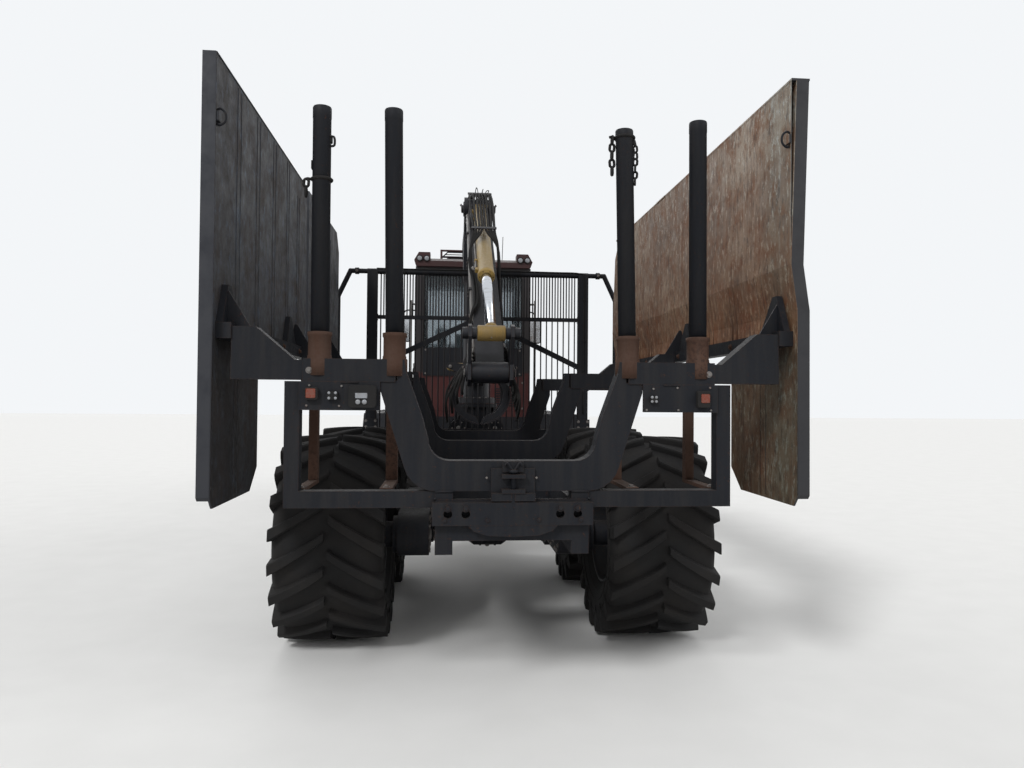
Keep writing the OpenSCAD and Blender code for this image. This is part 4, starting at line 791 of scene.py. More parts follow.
def boom_hoses():
    p = Piece("boom_hoses")
    rng = random.Random(4)
    for k in range(8):
        x = crane_hose_x(k)
        r = rng.choice(HOSE_SIZES)
        lift = rng.uniform(0, 0.014)
        side = -1 if k < 4 else 1
        inner = abs(k - 3.5)
        row = int(inner - 0.5)
        low_u = 0.045 - 0.03 * row
        over = 0.012 * (abs(x) < 0.075)
        pts = boom_path((-0.02, 0.158 + lift, x), (0.12, 0.205 + lift, x * 1.08),
            (0.30, 0.290 + lift + over, x * 1.16 + rng.uniform(-0.006, 0.006)),
            (0.50, 0.332 + lift + over, x * 1.18 + rng.uniform(-0.008, 0.008)),
            (0.78, 0.356 + lift + over, x * 1.14 + rng.uniform(-0.008, 0.008)),
            (1.10, 0.388 + lift * 0.6 + over, x * 1.10), (1.45, 0.398 + over, x * 0.94 + side * 0.01),
            (1.61, 0.312, side * 0.128))
        if side < 0:
            # Down onto the boom's top beside the cylinder, then over the steel pipes
            lie_x, lie_u = -0.106 + 0.024 * (row % 2), 0.124 + 0.024 * (row // 2)
            pts += boom_path((1.76, lie_u + 0.06, lie_x * 0.67 - 0.063), (1.95, lie_u, lie_x),
                (2.36, lie_u + 0.006, lie_x), (2.54, lie_u - 0.005, -0.136),
                (2.68, 0.05 - 0.02 * row, -0.160), (2.78, low_u - 0.05, -0.157))
            end_x = -0.157
        else:
            pts += boom_path((1.78, low_u + 0.06, 0.146), (2.0, low_u, 0.142), (2.3, low_u - 0.02, 0.142),
                (2.78, low_u - 0.05, 0.130))
            end_x = 0.130
        p.pipe("hose", pts, r, 8, 5)
        end = Vector(boom_at(2.78, low_u - 0.05, end_x))
        direction = Vector(boom_at(2.9, low_u - 0.05, end_x)) - end
        p.nut(0.016, 0, 0.045, 0.003, toward(direction, end))
    # Thin sensor wires standing out of the bundle
    for x, k in ((-0.05, 0), (0.02, 1), (0.08, 2)):
        pts = boom_path((0.10, 0.20, x), (0.28 + 0.04 * k, 0.37, x + 0.01), (0.55, 0.40 + 0.01 * k, x * 0.6),
            (0.95, 0.412, x * 0.9), (1.36, 0.414, x))
        p.pipe("hose", pts, 0.0045, 6, 5)
    # Clamps over the bundle
    for a, u, w in ((0.20, 0.268, 0.262), (1.42, 0.424, 0.240)):
        low = Vector(boom_at(a, u, 0))
        p.add("crane", slab((-w / 2, -0.02, -0.004), (w / 2, 0.02, 0.006), 0.003),
              toward(Vector(boom_at(a, u + 1, 0)) - low, low))
    for a in (1.85, 2.25, 2.65):
        p.add("crane", slab((-0.085, -0.02, 0), (0.085, 0.02, 0.034), 0.003), move(boom_at(a, 0.0, 0.116))
              @ Matrix(((0, 0, 1), (0, 1, 0), (1, 0, 0))).to_4x4())
    p.done("boom")


def head_hoses():
    # From the pillar's sides over the boom's foot pin
    p = Piece("head_hoses")
    rng = random.Random(7)
    for k in range(8):
        x = crane_hose_x(k)
        r = rng.choice(HOSE_SIZES)
        lift = rng.uniform(0, 0.016)
        pts = [(x * 1.6, Y(4.99), 3.32), (x * 1.6, Y(5.02), 3.52), (x * 1.35, Y(4.96), 3.76 + lift),
            (x * 1.1, Y(4.80), 3.94 + lift), (x * 1.02, Y(4.68), 3.985 + lift),
            boom_at(-0.02, 0.158 + lift, x)]
        p.pipe("hose", pts, r, 8, 6)
    made = p.done(None)
    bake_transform(made)


def knuckle_hoses():
    p = Piece("knuckle_hoses")
    rng = random.Random(11)
    for side in (-1, 1):
        for k in range(4):
            u = 0.045 - 0.03 * k - 0.05
            x0 = -0.157 if side < 0 else 0.130
            drop = (0.10 + 0.07 * k) if side < 0 else (0.10 + 0.06 * k)
            out = -(0.215 + 0.040 * k) if side < 0 else 0.200 + 0.012 * k
            a = Vector(boom_at(2.82, u, x0))
            b = Vector(jib_at(0.46 + 0.04 * k, -0.02 - 0.03 * k, side * 0.15))
            pts = [tuple(a), boom_at(2.92, u - 0.01, side * 0.165),
                (out, Y(2.10) - 0.02 * k, 1.80 - 0.4 * drop), (out, Y(2.14), 1.80 - drop),
                (out, Y(2.26), 1.80 - drop + 0.02), (out, Y(2.40), 1.86 - 0.4 * drop),
                (side * 0.17, b.y - 0.05, b.z - 0.02), tuple(b)]
            p.pipe("hose", pts, rng.choice((0.010, 0.011)), 8, 6)
    made = p.done(None)
    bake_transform(made)


boom_hoses()
head_hoses()
knuckle_hoses()


# Lamps, lamp plates and the frame's rear end
PLATE_Y = Y(0) - 0.057


def lamp_case(p, x0, x1, z0, z1, depth, look, lens):
    # Housing with a raised rim and a smaller lens set into it
    place = move(((x0 + x1) / 2, PLATE_Y, (z0 + z1) / 2)) @ UPRIGHT
    w, h = x1 - x0, z1 - z0
    p.add("hose", prism(rounded(w, h, min(w, h) * 0.16), 0, depth * 0.86, 0.003), place)
    a0, a1, b0, b1 = lens
    set_in = move(((a0 + a1) / 2, PLATE_Y, (b0 + b1) / 2)) @ UPRIGHT
    p.add(look, prism(rounded(a1 - a0, b1 - b0, min(a1 - a0, b1 - b0) * 0.14), depth * 0.8, depth, 0.003),
        set_in)


def rear_lamps():
    p = Piece("rear_lamp_units")
    lamp_case(p, -0.831, -0.692, 1.613, 1.727, 0.044, "white", (-0.796, -0.736, 1.661, 1.688))
    for x in (-0.782, -0.750):
        p.lathe("white", [(0, 0.036), (0.0125, 0.037), (0.0125, 0.042), (0.007, 0.045), (0, 0.0455)],
            20, toward((0, -1, 0), (x, PLATE_Y, 1.643)))
    lamp_case(p, -1.045, -0.981, 1.651, 1.715, 0.032, "red", (-1.040, -0.992, 1.660, 1.708))
    lamp_case(p, 0.961, 1.031, 1.625, 1.713, 0.032, "red", (0.979, 1.026, 1.650, 1.697))
    for x0, x1, z0, z1 in ((-0.938, -0.884, 1.652, 1.696), (0.713, 0.750, 1.649, 1.685)):
        w, h = (x1 - x0) / 4, (z1 - z0) / 4
        place = move(((x0 + x1) / 2, PLATE_Y, (z0 + z1) / 2)) @ UPRIGHT
        p.add("hose", prism(rounded(x1 - x0, z1 - z0, 0.006), 0, 0.022, 0.002), place)
        for sx in (-1, 1):
            for sz in (-1, 1):
                p.lathe("white", [(0, 0.016), (0.0075, 0.018), (0.0075, 0.023), (0.004, 0.026), (0, 0.026)],
                    16, place @ move((sx * w * 1.2, sz * h * 1.2, 0)))
    p.done("rear_frame", ["rear_lamps"])

    q = Piece("lamp_plate_fixings")
    left = [(-1.027, 1.724), (-0.868, 1.722), (-0.742, 1.722), (-1.040, 1.623), (-0.879, 1.622),
        (-0.712, 1.622)]
    right = [(0.732, 1.722), (0.860, 1.728), (1.035, 1.730), (0.696, 1.612), (0.865, 1.612), (1.040, 1.612)]
    for x, z in left + right:
        q.screw((x, PLATE_Y, z), (0, -1, 0), 0.0062, False)
    # Cables led up behind the lamp plates
    for x0, x1 in ((-1.01, -0.96), (-0.90, -0.93), (-0.76, -0.90), (0.74, 0.80), (0.99, 0.90)):
        q.pipe("hose", [(x0, PLATE_Y + 0.014, 1.66), (x0, PLATE_Y + 0.034, 1.635),
            (x1, PLATE_Y + 0.044, 1.640), (x1, PLATE_Y + 0.050, 1.70), (x1, PLATE_Y + 0.052, 1.76)],
            0.005, 8, 5)
    q.done("rear_frame")


def frame_end():
    p = Piece("frame_end_details")
    y = Y(0) - 0.100
    for x in (-0.33, -0.24, 0.24, 0.33):
        p.add("frame", bolt(0.013), toward((0, -1, 0), (x, y, 1.112)))
    for x in (-0.345, -0.13, 0.13, 0.345):
        p.add("frame", bolt(0.010), toward((0, -1, 0), (x, y, 1.052)))
    for x in (-0.135, 0.120):
        p.screw((x, Y(0) - 0.066, 1.262), (0, -1, 0), 0.0065, False)
    # Blank square plate, drawbar pin with its handle
    p.plate("frame", (-0.055, Y(0) - 0.0755, 1.290), (0.055, Y(0) - 0.0665, 1.345), 0.003)
    p.lathe("frame", [(0, 1.10), (0.0115, 1.10), (0.0135, 1.115), (0.0135, 1.29), (0.026, 1.292),
        (0.026, 1.302), (0.0135, 1.305), (0, 1.305)], 24, move((0, Y(0) - 0.088, 0)))
    p.pipe("frame", [(-0.045, Y(0) - 0.088, 1.325), (-0.03, Y(0) - 0.088, 1.338), (0.0, Y(0) - 0.088, 1.300),
        (0.03, Y(0) - 0.088, 1.338), (0.045, Y(0) - 0.088, 1.325)], 0.006, 8, 5)
    p.done("rear_frame")


def chain(piece, look, points, wire, link):
    # Chain of welded links laid along a path, each link turned a quarter from the last
    path = smooth_path(points, 12)
    length = [0]
    for a, b in zip(path, path[1:]):
        length.append(length[-1] + (b - a).length)
    pitch = link - 2 * wire
    count = max(1, int(length[-1] / pitch))
    for i in range(count):
        at = (i + 0.5) * length[-1] / count
        k = next(j for j in range(1, len(length)) if length[j] >= at or j == len(length) - 1)
        share = (at - length[k - 1]) / max(1e-6, length[k] - length[k - 1])
        centre = path[k - 1].lerp(path[k], share)
        along = (path[k] - path[k - 1]).normalized()
        turn = toward(along, centre) @ rotated(math.pi / 2 * (i % 2), "Z")
        half, r = link / 2 - wire, wire * 1.55
        loop = []
        for c, s in arc(1, range(0, 360, 30)):
            loop.append((r * s, 0, (half - r) * (1 if c > 0 else -1 if c < 0 else 0) + r * c))
        pts, faces = [], []
        n = len(loop)
        for m in range(n):
            ahead = (Vector(loop[(m + 1) % n]) - Vector(loop[m - 1])).normalized()
            out = Vector((0, 1, 0)).cross(ahead)
            for s in range(6):
                a = math.pi / 3 * s
                swing = out * wire * 0.95 * math.cos(a)
                pts.append(tuple(Vector(loop[m]) + swing + Vector((0, 1, 0)) * wire * 0.95 * math.sin(a)))
        for m in range(n):
            q = (m + 1) % n
            for s in range(6):
                t = (s + 1) % 6
                faces.append((m * 6 + s, q * 6 + s, q * 6 + t, m * 6 + t))
        piece.add(look, (pts, faces), turn, True)


def stakes_and_bunks():
    # Stakes with their caps, sleeves, collars and chains
    p = Piece("stake_set")
    r, base = 0.0463, 1.881
    for foot, head, top in ((-0.988, -0.990, 3.151), (-0.610, -0.627, 3.152), (0.607, 0.584, 3.094),
            (0.988, 0.986, 3.153)):
        stake = [(0, base), (r, base), (r, top - 0.060), (r + 0.0012, top - 0.058), (r + 0.0012, top - 0.008),
            (r - 0.001, top - 0.002), (r - 0.006, top), (0, top)]
        points, faces = turned(stake, 40)
        points = [(x + foot + (head - foot) * (z - base) / (top - base), y + Y(0), z) for x, y, z in points]
        p.add("frame", (points, faces), None, True)
    chain(p, "hose", path_y((0.520, 0, 3.060), (0.518, 0, 2.96), (0.520, 0, 2.852)), 0.008, 0.056)
    chain(p, "hose", [(-0.988 - 0.078, Y(0), 2.784), (-0.988 - 0.078, Y(0), 2.684)], 0.008, 0.056)
    for x, z in ((0.586, 3.052), (-0.988, 2.777)):
        loop = [(x + c, Y(0) + s, z) for c, s in arc(0.050, range(0, 361, 20))]
        p.pipe("hose", loop, 0.008, 8, 1)
        p.pipe("hose", path_y((x - 0.050, 0, z), (x - 0.070, 0, z + 0.004), (x - 0.082, 0, z + 0.001)),
            0.0075, 8, 3)
    # Lugs and a shackle on the outer left stake, a chain end round the inner right one
    for x, z, side in ((-0.988, 2.985, 1), (-0.988, 2.850, -1), (0.588, 2.975, 1)):
        p.plate("hose", (x + side * 0.036 - 0.010, Y(0) - 0.016, z - 0.020),
            (x + side * 0.052, Y(0) + 0.012, z + 0.020), 0.006)
    p.pipe("hose", [(-0.945, Y(0) - 0.014, 2.998), (-0.926, Y(0) - 0.014, 2.992),
        (-0.925, Y(0) - 0.014, 2.953), (-0.945, Y(0) - 0.014, 2.946)], 0.006, 8, 4)
    chain(p, "hose", [(0.634, Y(0) - 0.012, 3.040), (0.640, Y(0) - 0.016, 2.98), (0.639, Y(0) - 0.016, 2.80)],
        0.007, 0.048)
    p.done("rear_frame", ["stakes"])
    r = Piece("stake_sleeves")
    for x in (-0.988, -0.610, 0.610, 0.988):
        sleeve = [(0.0470, 1.775), (0.0665, 1.775), (0.0665, 1.860), (0.0605, 1.866), (0.0605, 1.876),
            (0.0575, 1.880), (0.0575, 1.972), (0.062, 1.978), (0.062, 1.996), (0.0470, 1.999)]
        r.hoop("rust", sleeve, 36, move((x, Y(0), 0)))
    r.done("rear_frame")

    q = Piece("bunk_details")
    for s in BUNKS:
        for side in (-1, 1):
            # Strap plates and weld beads on the arm sleeves
            q.plate("frame", (side * 0.83 - 0.045, Y(s) - 0.064, 1.738),
                (side * 0.83 + 0.045, Y(s) + 0.064, 1.7445), 0.002)
            q.screw((side * 1.03, Y(s) - 0.0570, 1.80), (0, -1, 0), 0.011)
            q.add("frame", tube([(side * 0.603, Y(s) - 0.0565, 1.750), (side * 0.603, Y(s) - 0.0575, 1.80),
                (side * 0.603, Y(s) - 0.0565, 1.855)], 0.004, 6, 2))
    # Rusty bars and posts ahead of the lower beam, over the plain ones
    for side in (-1, 1):
        for x0, x1 in ((1.063, 1.115), (0.617, 0.683)):
            low, high = sorted((side * x0, side * x1))
            q.plate("rust", (low, Y(0) + 0.0415, 1.1775), (high, Y(0) + 0.4835, 1.1975), 0.003)
            q.plate("rust", (low, Y(0) + 0.4275, 1.198), (high, Y(0) + 0.4835, 1.7445), 0.003)
            q.screw(((low + high) / 2, Y(0) + 0.08, 1.197), (0, 0, 1), 0.012)
            q.screw(((low + high) / 2, Y(0) + 0.4275, 1.70), (0, -1, 0), 0.012)
    q.done("rear_frame")


FOLD_LOW, FOLD_HIGH, PANEL_TOP = 2.14, 2.38, 3.366


def side_details():
    # Lashing ring at the rear edge, beads at the pressed ribs and bolts along the rail
    for side, body, knee, look in ((-1, "side_left", 0.0, "plate_in_painted_shade"), (1, "side_right", 0.034, "plate")):
        p = Piece("panel_details_" + body[5:])

        def face(z):
            # How far out the panel's inner face stands at a height: bent in at the folds, then out again
            if z < FOLD_LOW:
                return side * 1.489
            if z < FOLD_HIGH:
                return side * (1.489 - knee * (z - FOLD_LOW) / 0.24)
            return side * (1.489 - knee * (1 - 0.9 * (z - FOLD_HIGH) / 0.988))

        x, y, z = face(3.05) - (0.018 if side > 0 else 0), Y(-0.085), 3.05
        loop = [(0, 0.032), (-0.018, 0.040), (-0.038, 0.026), (-0.046, 0), (-0.040, -0.026), (-0.018, -0.042),
            (0, -0.034), (0.004, 0)]
        p.pipe("frame", [(x + side * a, y, z + c) for a, c in loop + loop[:1]], 0.0062, 8, 4)
        low, high = sorted((x - side * 0.016, x + side * 0.002))
        p.plate(look, (low, y - 0.018, z - 0.024), (high, y + 0.030, z + 0.024), 0.004)
        for s in (430, 850, 1270, 1690, 2060, 2830, 3220, 3600):
            for d in (-0.036, 0.036):
                yy = Y(-0.11 + s / 1000 + d)
                top = 3.20 if s > 3500 or 2000 < s < 2200 else 3.345
                low = 1.13 if s < 700 else 2.04
                zs = [k for k in (low, FOLD_LOW, FOLD_HIGH, top) if k >= low]
                p.pipe(look, [(face(k) - side * 0.0005, yy, k) for k in zs], 0.0035, 6, 1)
        for s in (0.30, 0.62, 1.14, 1.66, FOLD_LOW, 2.56, 3.08, 3.60, 3.86):
            p.add("rust", bolt(0.013), toward((-side, 0, 0), (side * 1.412, Y(s), 1.995)))
        if side > 0:
            # Liner drawn in to the top flange, cover over the gap between the two sheets and its flange
            p.plate(look, (1.452, Y(2.18), 3.3565), (1.554, Y(2.42), 3.3685), 0.001)
            for s0, s1, z0, z1, draw in ((-0.104, 3.84, 2.385, PANEL_TOP, 0.027),
                    (2.10, 2.42, 2.02, 3.00, 0.0)):
                zs = [z0] + [k for k in (FOLD_LOW, FOLD_HIGH) if z0 < k < z1] + [z1]
                inner = [(face(k) - (draw + 0.001 if k == z1 else 0) - 0.0012, k) for k in zs]
                outline = inner + [(x + 0.0025, k) for x, k in reversed(inner)]
                p.add(look, prism(outline, -Y(s1), -Y(s0)), UPRIGHT)
        # Cross gussets between the arms and the plate
        for s in (0.035, 1.765, 3.435):
            tri = [(1.325, 1.996), (1.482, 1.996), (1.482, 2.110), (1.470, 2.196), (1.458, 2.206),
                (1.448, 2.200)]
            tri = [(side * a, c) for a, c in tri]
            if side < 0:
                tri.reverse()
            p.add("frame", prism(tri, -Y(s) - 0.006, -Y(s) + 0.006, 0.001), UPRIGHT)
        # Beads at the folded rear edge and along the top
        weld(p, [(face(z) - side * 0.001, Y(-0.108), z) for z in (1.17, FOLD_LOW, FOLD_HIGH, 3.36)],
            0.004, look)
        weld(p, [(face(PANEL_TOP), Y(-0.10), PANEL_TOP), (face(PANEL_TOP), Y(2.20), PANEL_TOP)], 0.005, look)
        p.done(body)


rear_lamps()
frame_end()
stakes_and_bunks()
side_details()


# Cylinders: barrel with gland, ports and pipe, rod with its eye
def ram(name, tail, start, end, across, rb, rr, gland, lip, z0, bore, rod, foot, eye, pin,
        pipe=None, look="yellow", neck=0.030, shift=(0, 0, 0)):
    start, end = Vector(start), Vector(end)
    along = (end - start).normalized()
    reach = (end - start).length
    place = frame_at(start, along, across)
    turn = rotated(math.pi / 2, "Y")
    p = Piece(name + tail + "_barrel_unit")
    p.hoop("yellow", [(0.0002, z0), (rb - 0.010, z0), (rb, z0 + 0.010), (rb, gland - lip - 0.006),
        (rb + 0.0045, gland - lip), (rb + 0.0045, gland - 0.006), (rb, gland), (rr + 0.012, gland),
        (rr + 0.010, gland + 0.006), (rr + 0.0008, gland + 0.006), (rr + 0.0008, bore), (0.0002, bore)],
        48, place)
    p.add("yellow", eye_ring(foot[0], 0.001, foot[1]), place @ turn, True)
    p.lathe("yellow", [(0, 0.01), (foot[0] * 0.72, 0.01), (rb * 0.8, z0 + 0.004), (rb * 0.8, z0 + 0.012),
        (0, z0 + 0.012)], 32, place)
    p.add("bare", pin_bar(*pin), place @ turn, True)
    # Gland ring notches and the two ports with a pipe between them
    for k in range(6):
        p.add("crane", slab((-0.004, -0.004, 0), (0.004, 0.004, 0.006), 0.001),
            place @ rotated(math.radians(60 * k), "Z")
            @ move((rr + 0.5 * (rb - rr) + 0.003, 0, gland - 0.004)))
    if pipe is not None:
        spin = place @ rotated(math.radians(pipe), "Z")
        for z in (z0 + 0.05, gland - lip - 0.05):
            p.add("yellow", prism(rounded(0.044, 0.040, 0.005, 2), 0, 0.036, 0.004),
                  spin @ move((rb - 0.010, 0, z)) @ rotated(math.pi / 2, "Y"))
        a, b = z0 + 0.05, gland - lip - 0.05
        r0 = rb + 0.026
        path = [(r0, 0, b), (r0 + 0.022, 0, b - 0.012), (r0 + 0.020, 0, b - 0.05), (r0 - 0.008, 0, b - 0.10),
            (r0 - 0.010, 0, (a + b) / 2), (r0 - 0.010, 0, a + 0.12), (r0 - 0.010, 0.02, a + 0.05),
            (r0 - 0.004, 0.045, a - 0.01)]
        p.pipe("bare", path, 0.0085, 8, 5, place=spin)
        for z in (a + 0.22, (a + b) / 2, b - 0.20):
            p.add("yellow", slab((rb - 0.002, -0.016, z - 0.012), (rb + 0.028, 0.016, z + 0.012), 0.004),
                spin)
    p.done(name + "_barrel%s_body" % tail, [name + "_barrel" + tail])
    q = Piece(name + tail + "_rod_unit")
    eye_r, eye_w = eye
    q.lathe("chrome", [(0, rod), (rr - 0.004, rod), (rr, rod + 0.004), (rr, reach - eye_r * 0.55),
        (0, reach - eye_r * 0.55)], 48, place)
    q.lathe(look, [(0, reach - eye_r - neck), (rr + 0.004, reach - eye_r - neck),
        (rr + 0.009, reach - eye_r - neck * 0.67), (rr + 0.011, reach - eye_r * 0.5),
        (0, reach - eye_r * 0.5)], 32, place)
    q.add(look, eye_ring(eye_r, 0.001, eye_w, 40), frame_at(end + Vector(shift), along, across) @ turn, True)
    q.add("bare", turned([(0, 0), (0.005, 0), (0.005, 0.008), (0.003, 0.010), (0.0035, 0.014), (0, 0.016)],
        10), place @ move((0, 0, reach + eye_r - 0.002)))
    q.done(name + "_rod%s_body" % tail, [name + "_rod" + tail])


def crane_rams():
    ram("boom", "", (0, Y(BARREL_FOOT[0]), BARREL_FOOT[1]), (0, Y(LEVER[0]), LEVER[1]), (1, 0, 0),
        rb=0.072, rr=0.044, gland=1.634, lip=0.066, z0=0.036, bore=0.20, rod=1.23, foot=(0.060, 0.150),
        eye=(0.062, 0.217), pin=(0.032, 0.210), pipe=172, look="ochre")
    ram("lift", "", (0, Y(4.61), 1.95), boom_at(0.350, -0.283), (1, 0, 0),
        rb=0.072, rr=0.042, gland=1.064, lip=0.058, z0=0.036, bore=0.13, rod=0.14, foot=(0.062, 0.150),
        eye=(0.060, 0.100), pin=(0.035, 0.250), pipe=90)
    for x, word in ((-0.340, "_left"), (0.340, "_right")):
        ram("steer", word, (x, Y(4.72), 0.815), (x, Y(5.62), 0.815), (0, 0, 1),
            rb=0.045, rr=0.025, gland=0.557, lip=0.038, z0=0.052, bore=0.060, rod=0.290, foot=(0.042, 0.050),
            eye=(0.042, 0.050), pin=(0.0195, 0.052), shift=(0, 0, 0.003))
    ram("grapple", "", (-0.307, Y(3.73), 1.98), (0.307, Y(3.73), 1.98), (0, 1, 0),
        rb=0.0415, rr=0.022, gland=0.322, lip=0.026, z0=0.006, bore=0.0425, rod=0.295, foot=(0.036, 0.100),
        eye=(0.034, 0.090), pin=(0.018, 0.290), neck=0.003)


def keeper(p, at, direction, r, look="crane"):
    # Pin end with a keeper plate and its bolt
    place = toward(direction, at)
    p.lathe("bare", knob(r * 0.88, 0.004, r * 0.74, 0.008), 28, place)
    p.add(look, slab((-r * 0.35, r * 0.42, 0.001), (r * 0.35, r * 1.25, 0.011), 0.003), place)
    p.add("bare", bolt(0.0095), place @ move((0, r * 0.98, 0.011)))


def boom_fixings():
    p = Piece("boom_fixings")
    for side in (-1, 1):
        keeper(p, (side * 0.1885, Y(FOOT[0]), FOOT[1]), (side, 0, 0), 0.045)
        keeper(p, (side * 0.199, Y(KNUCKLE[0]), KNUCKLE[1]), (side, 0, 0), 0.040)
        # Seams along the box, doubler plates at both ends
        for seam in (((0.45, -0.157), (1.0, -0.157), (1.70, -0.157), (2.20, -0.108), (3.03, -0.058)),
                     ((0.42, 0.060), (1.50, 0.094), (2.44, 0.109), (2.77, 0.104), (3.20, 0.060))):
            weld(p, [boom_at(a, u, side * 0.1155) for a, u in seam])
        plate = [(0.20, -0.060), (0.30, -0.115), (0.62, -0.130), (0.70, -0.090), (0.70, 0.020), (0.60, 0.048),
            (0.20, 0.060)]
        for outline in (plate, [(2.50, -0.050), (2.58, -0.078), (3.00, -0.046), (3.02, 0.040), (2.58, 0.080),
                (2.50, 0.050)]):
            points = [Vector(boom_at(a, u, side * 0.114)) for a, u in outline]
            n = len(points)
            out = [tuple(q) for q in points] + [tuple(q + Vector((side * 0.0065, 0, 0))) for q in points]
            faces = [tuple(range(n)), tuple(range(2 * n - 1, n - 1, -1))]
            faces += [(i, n + i, n + (i + 1) % n, (i + 1) % n) for i in range(n)]
            p.add("crane", (out, faces))
            weld(p, [tuple(q + Vector((side * 0.003, 0, 0))) for q in points + points[:1]], 0.0035)
    # Pale steel pipes along the left side with clamp blocks
    for u in (-0.040, 0.0, 0.040):
        pts = boom_path((0.28, u, -0.1255), (1.1, u, -0.1255), (2.0, u, -0.1255), (2.90, u, -0.1255),
            (2.96, u - 0.01, -0.130))
        p.pipe("bare", pts, 0.0148, 10, 3)
        for a in (0.285, 2.905):
            at = Vector(boom_at(a, u, -0.1255))
            p.nut(0.021, -0.02, 0.02, 0.003, toward(Vector(boom_at(a + 1, u, -0.1255)) - at, at))
    for a in (0.75, 1.35, 1.95, 2.55):
        at = Vector(boom_at(a, 0, -0.115))
        p.add("crane", slab((-0.065, -0.022, 0), (0.065, 0.022, 0.034), 0.004),
              frame_at(at, (-1, 0, 0), Vector(boom_at(a, 1, 0)) - Vector(boom_at(a, 0, 0))))
        for u in (-0.02, 0.02):
            p.screw(boom_at(a, u, -0.148), (-1, 0, 0), 0.007)
    # Seams round the barrel foot's cheeks
    cheek = ((0.39, 0.075), (0.45, 0.238), (0.50, 0.272), (0.56, 0.272), (0.61, 0.238), (0.68, 0.085))
    for side in (-1, 1):
        weld(p, [boom_at(a, u, side * 0.108) for a, u in cheek], 0.003)
    p.done("boom")


def jib_fixings():
    p = Piece("jib_fixings")
    low, high = -0.165, 0.045
    for side in (-1, 1):
        keeper(p, (side * 0.178, Y(LEVER[0]), LEVER[1]), (side, 0, 0), 0.040)
        # Pin bosses as raised rings on the cheeks
        at = move((side * 0.179, Y(KNUCKLE[0]), KNUCKLE[1])) @ rotated(side * math.pi / 2, "Y")
        p.hoop("crane", [(0.0405, -0.002), (0.070, -0.002), (0.068, 0.009), (0.062, 0.012), (0.0405, 0.012)],
            36, at)
        for u in (low, high):
            weld(p, jib_path((0.55, u, side * 0.0855), (1.0, u, side * 0.0855),
                (JIB_L - 0.335, u, side * 0.0855)), 0.004)
        for a in (JIB_L - 0.315, JIB_L - 0.285):
            for u in (-0.12, -0.06, 0.0):
                p.screw(jib_at(a, u, side * 0.097), (side, 0, 0), 0.008)
    # Hoses to the rotator along both sides of the jib, with clamps
    for k in range(4):
        u = -0.100 + 0.026 * k
        pts = jib_path((0.46 + 0.04 * (3 - k), u, 0.150), (0.58, u, 0.112), (0.75, u, 0.100), (1.1, u, 0.100),
            (1.44, u, 0.100), (1.52, u, 0.108))
        p.pipe("hose", pts, 0.0105, 8, 4)
        p.pipe("hose", [(-x, y, z) for x, y, z in pts[:5]], 0.0105, 8, 4)
    for a in (0.80, 1.20):
        for side in (-1, 1):
            at = Vector(jib_at(a, -0.061, side * 0.085))
            p.add("crane", slab((-0.060, -0.018, 0), (0.060, 0.018, 0.030), 0.004),
                  frame_at(at, (side, 0, 0), Vector(jib_at(a, 1, 0)) - Vector(jib_at(a, 0, 0))))
            p.screw(jib_at(a, -0.061, side * 0.115), (side, 0, 0), 0.007)
    p.done("jib_body")


def tip_hoses():
    # Extension to link and link to rotator, each bent over one pin
    p = Piece("tip_hoses")
    T = (Y(TIP[0]), TIP[1])
    ty, tz = T
    for side in (-1, 1):
        for k in range(2):
            x = side * (0.082 + 0.024 * k)
            p.pipe("hose", [jib_at(JIB_L - 0.22, -0.02, x), jib_at(JIB_L - 0.12, 0.03 + 0.02 * k, x * 1.1),
                (x * 1.15, ty - 0.02, tz + 0.10 + 0.02 * k), (x * 1.1, ty + 0.075, tz + 0.02),
                (x, ty + 0.088, tz - 0.09)], 0.0095, 8, 6)
            p.nut(0.013, -0.018, 0.018, 0.002, toward((0, 0, -1), (x, ty + 0.088, tz - 0.085)))
    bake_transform(p.done(None))
    q = Piece("rotator_hoses")
    for side in (-1, 1):
        for k in range(2):
            x = side * (0.082 + 0.024 * k)
            q.pipe("hose", [(x, ty + 0.088, tz - 0.085), (x * 1.05, ty + 0.094, tz - 0.16),
                (x * 1.12, ty + 0.105, tz - 0.23), (x * 0.95, ty + 0.112, tz - 0.275),
                (x * 0.70, ty + 0.100, tz - 0.300)], 0.0095, 8, 6)
    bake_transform(q.done(None))


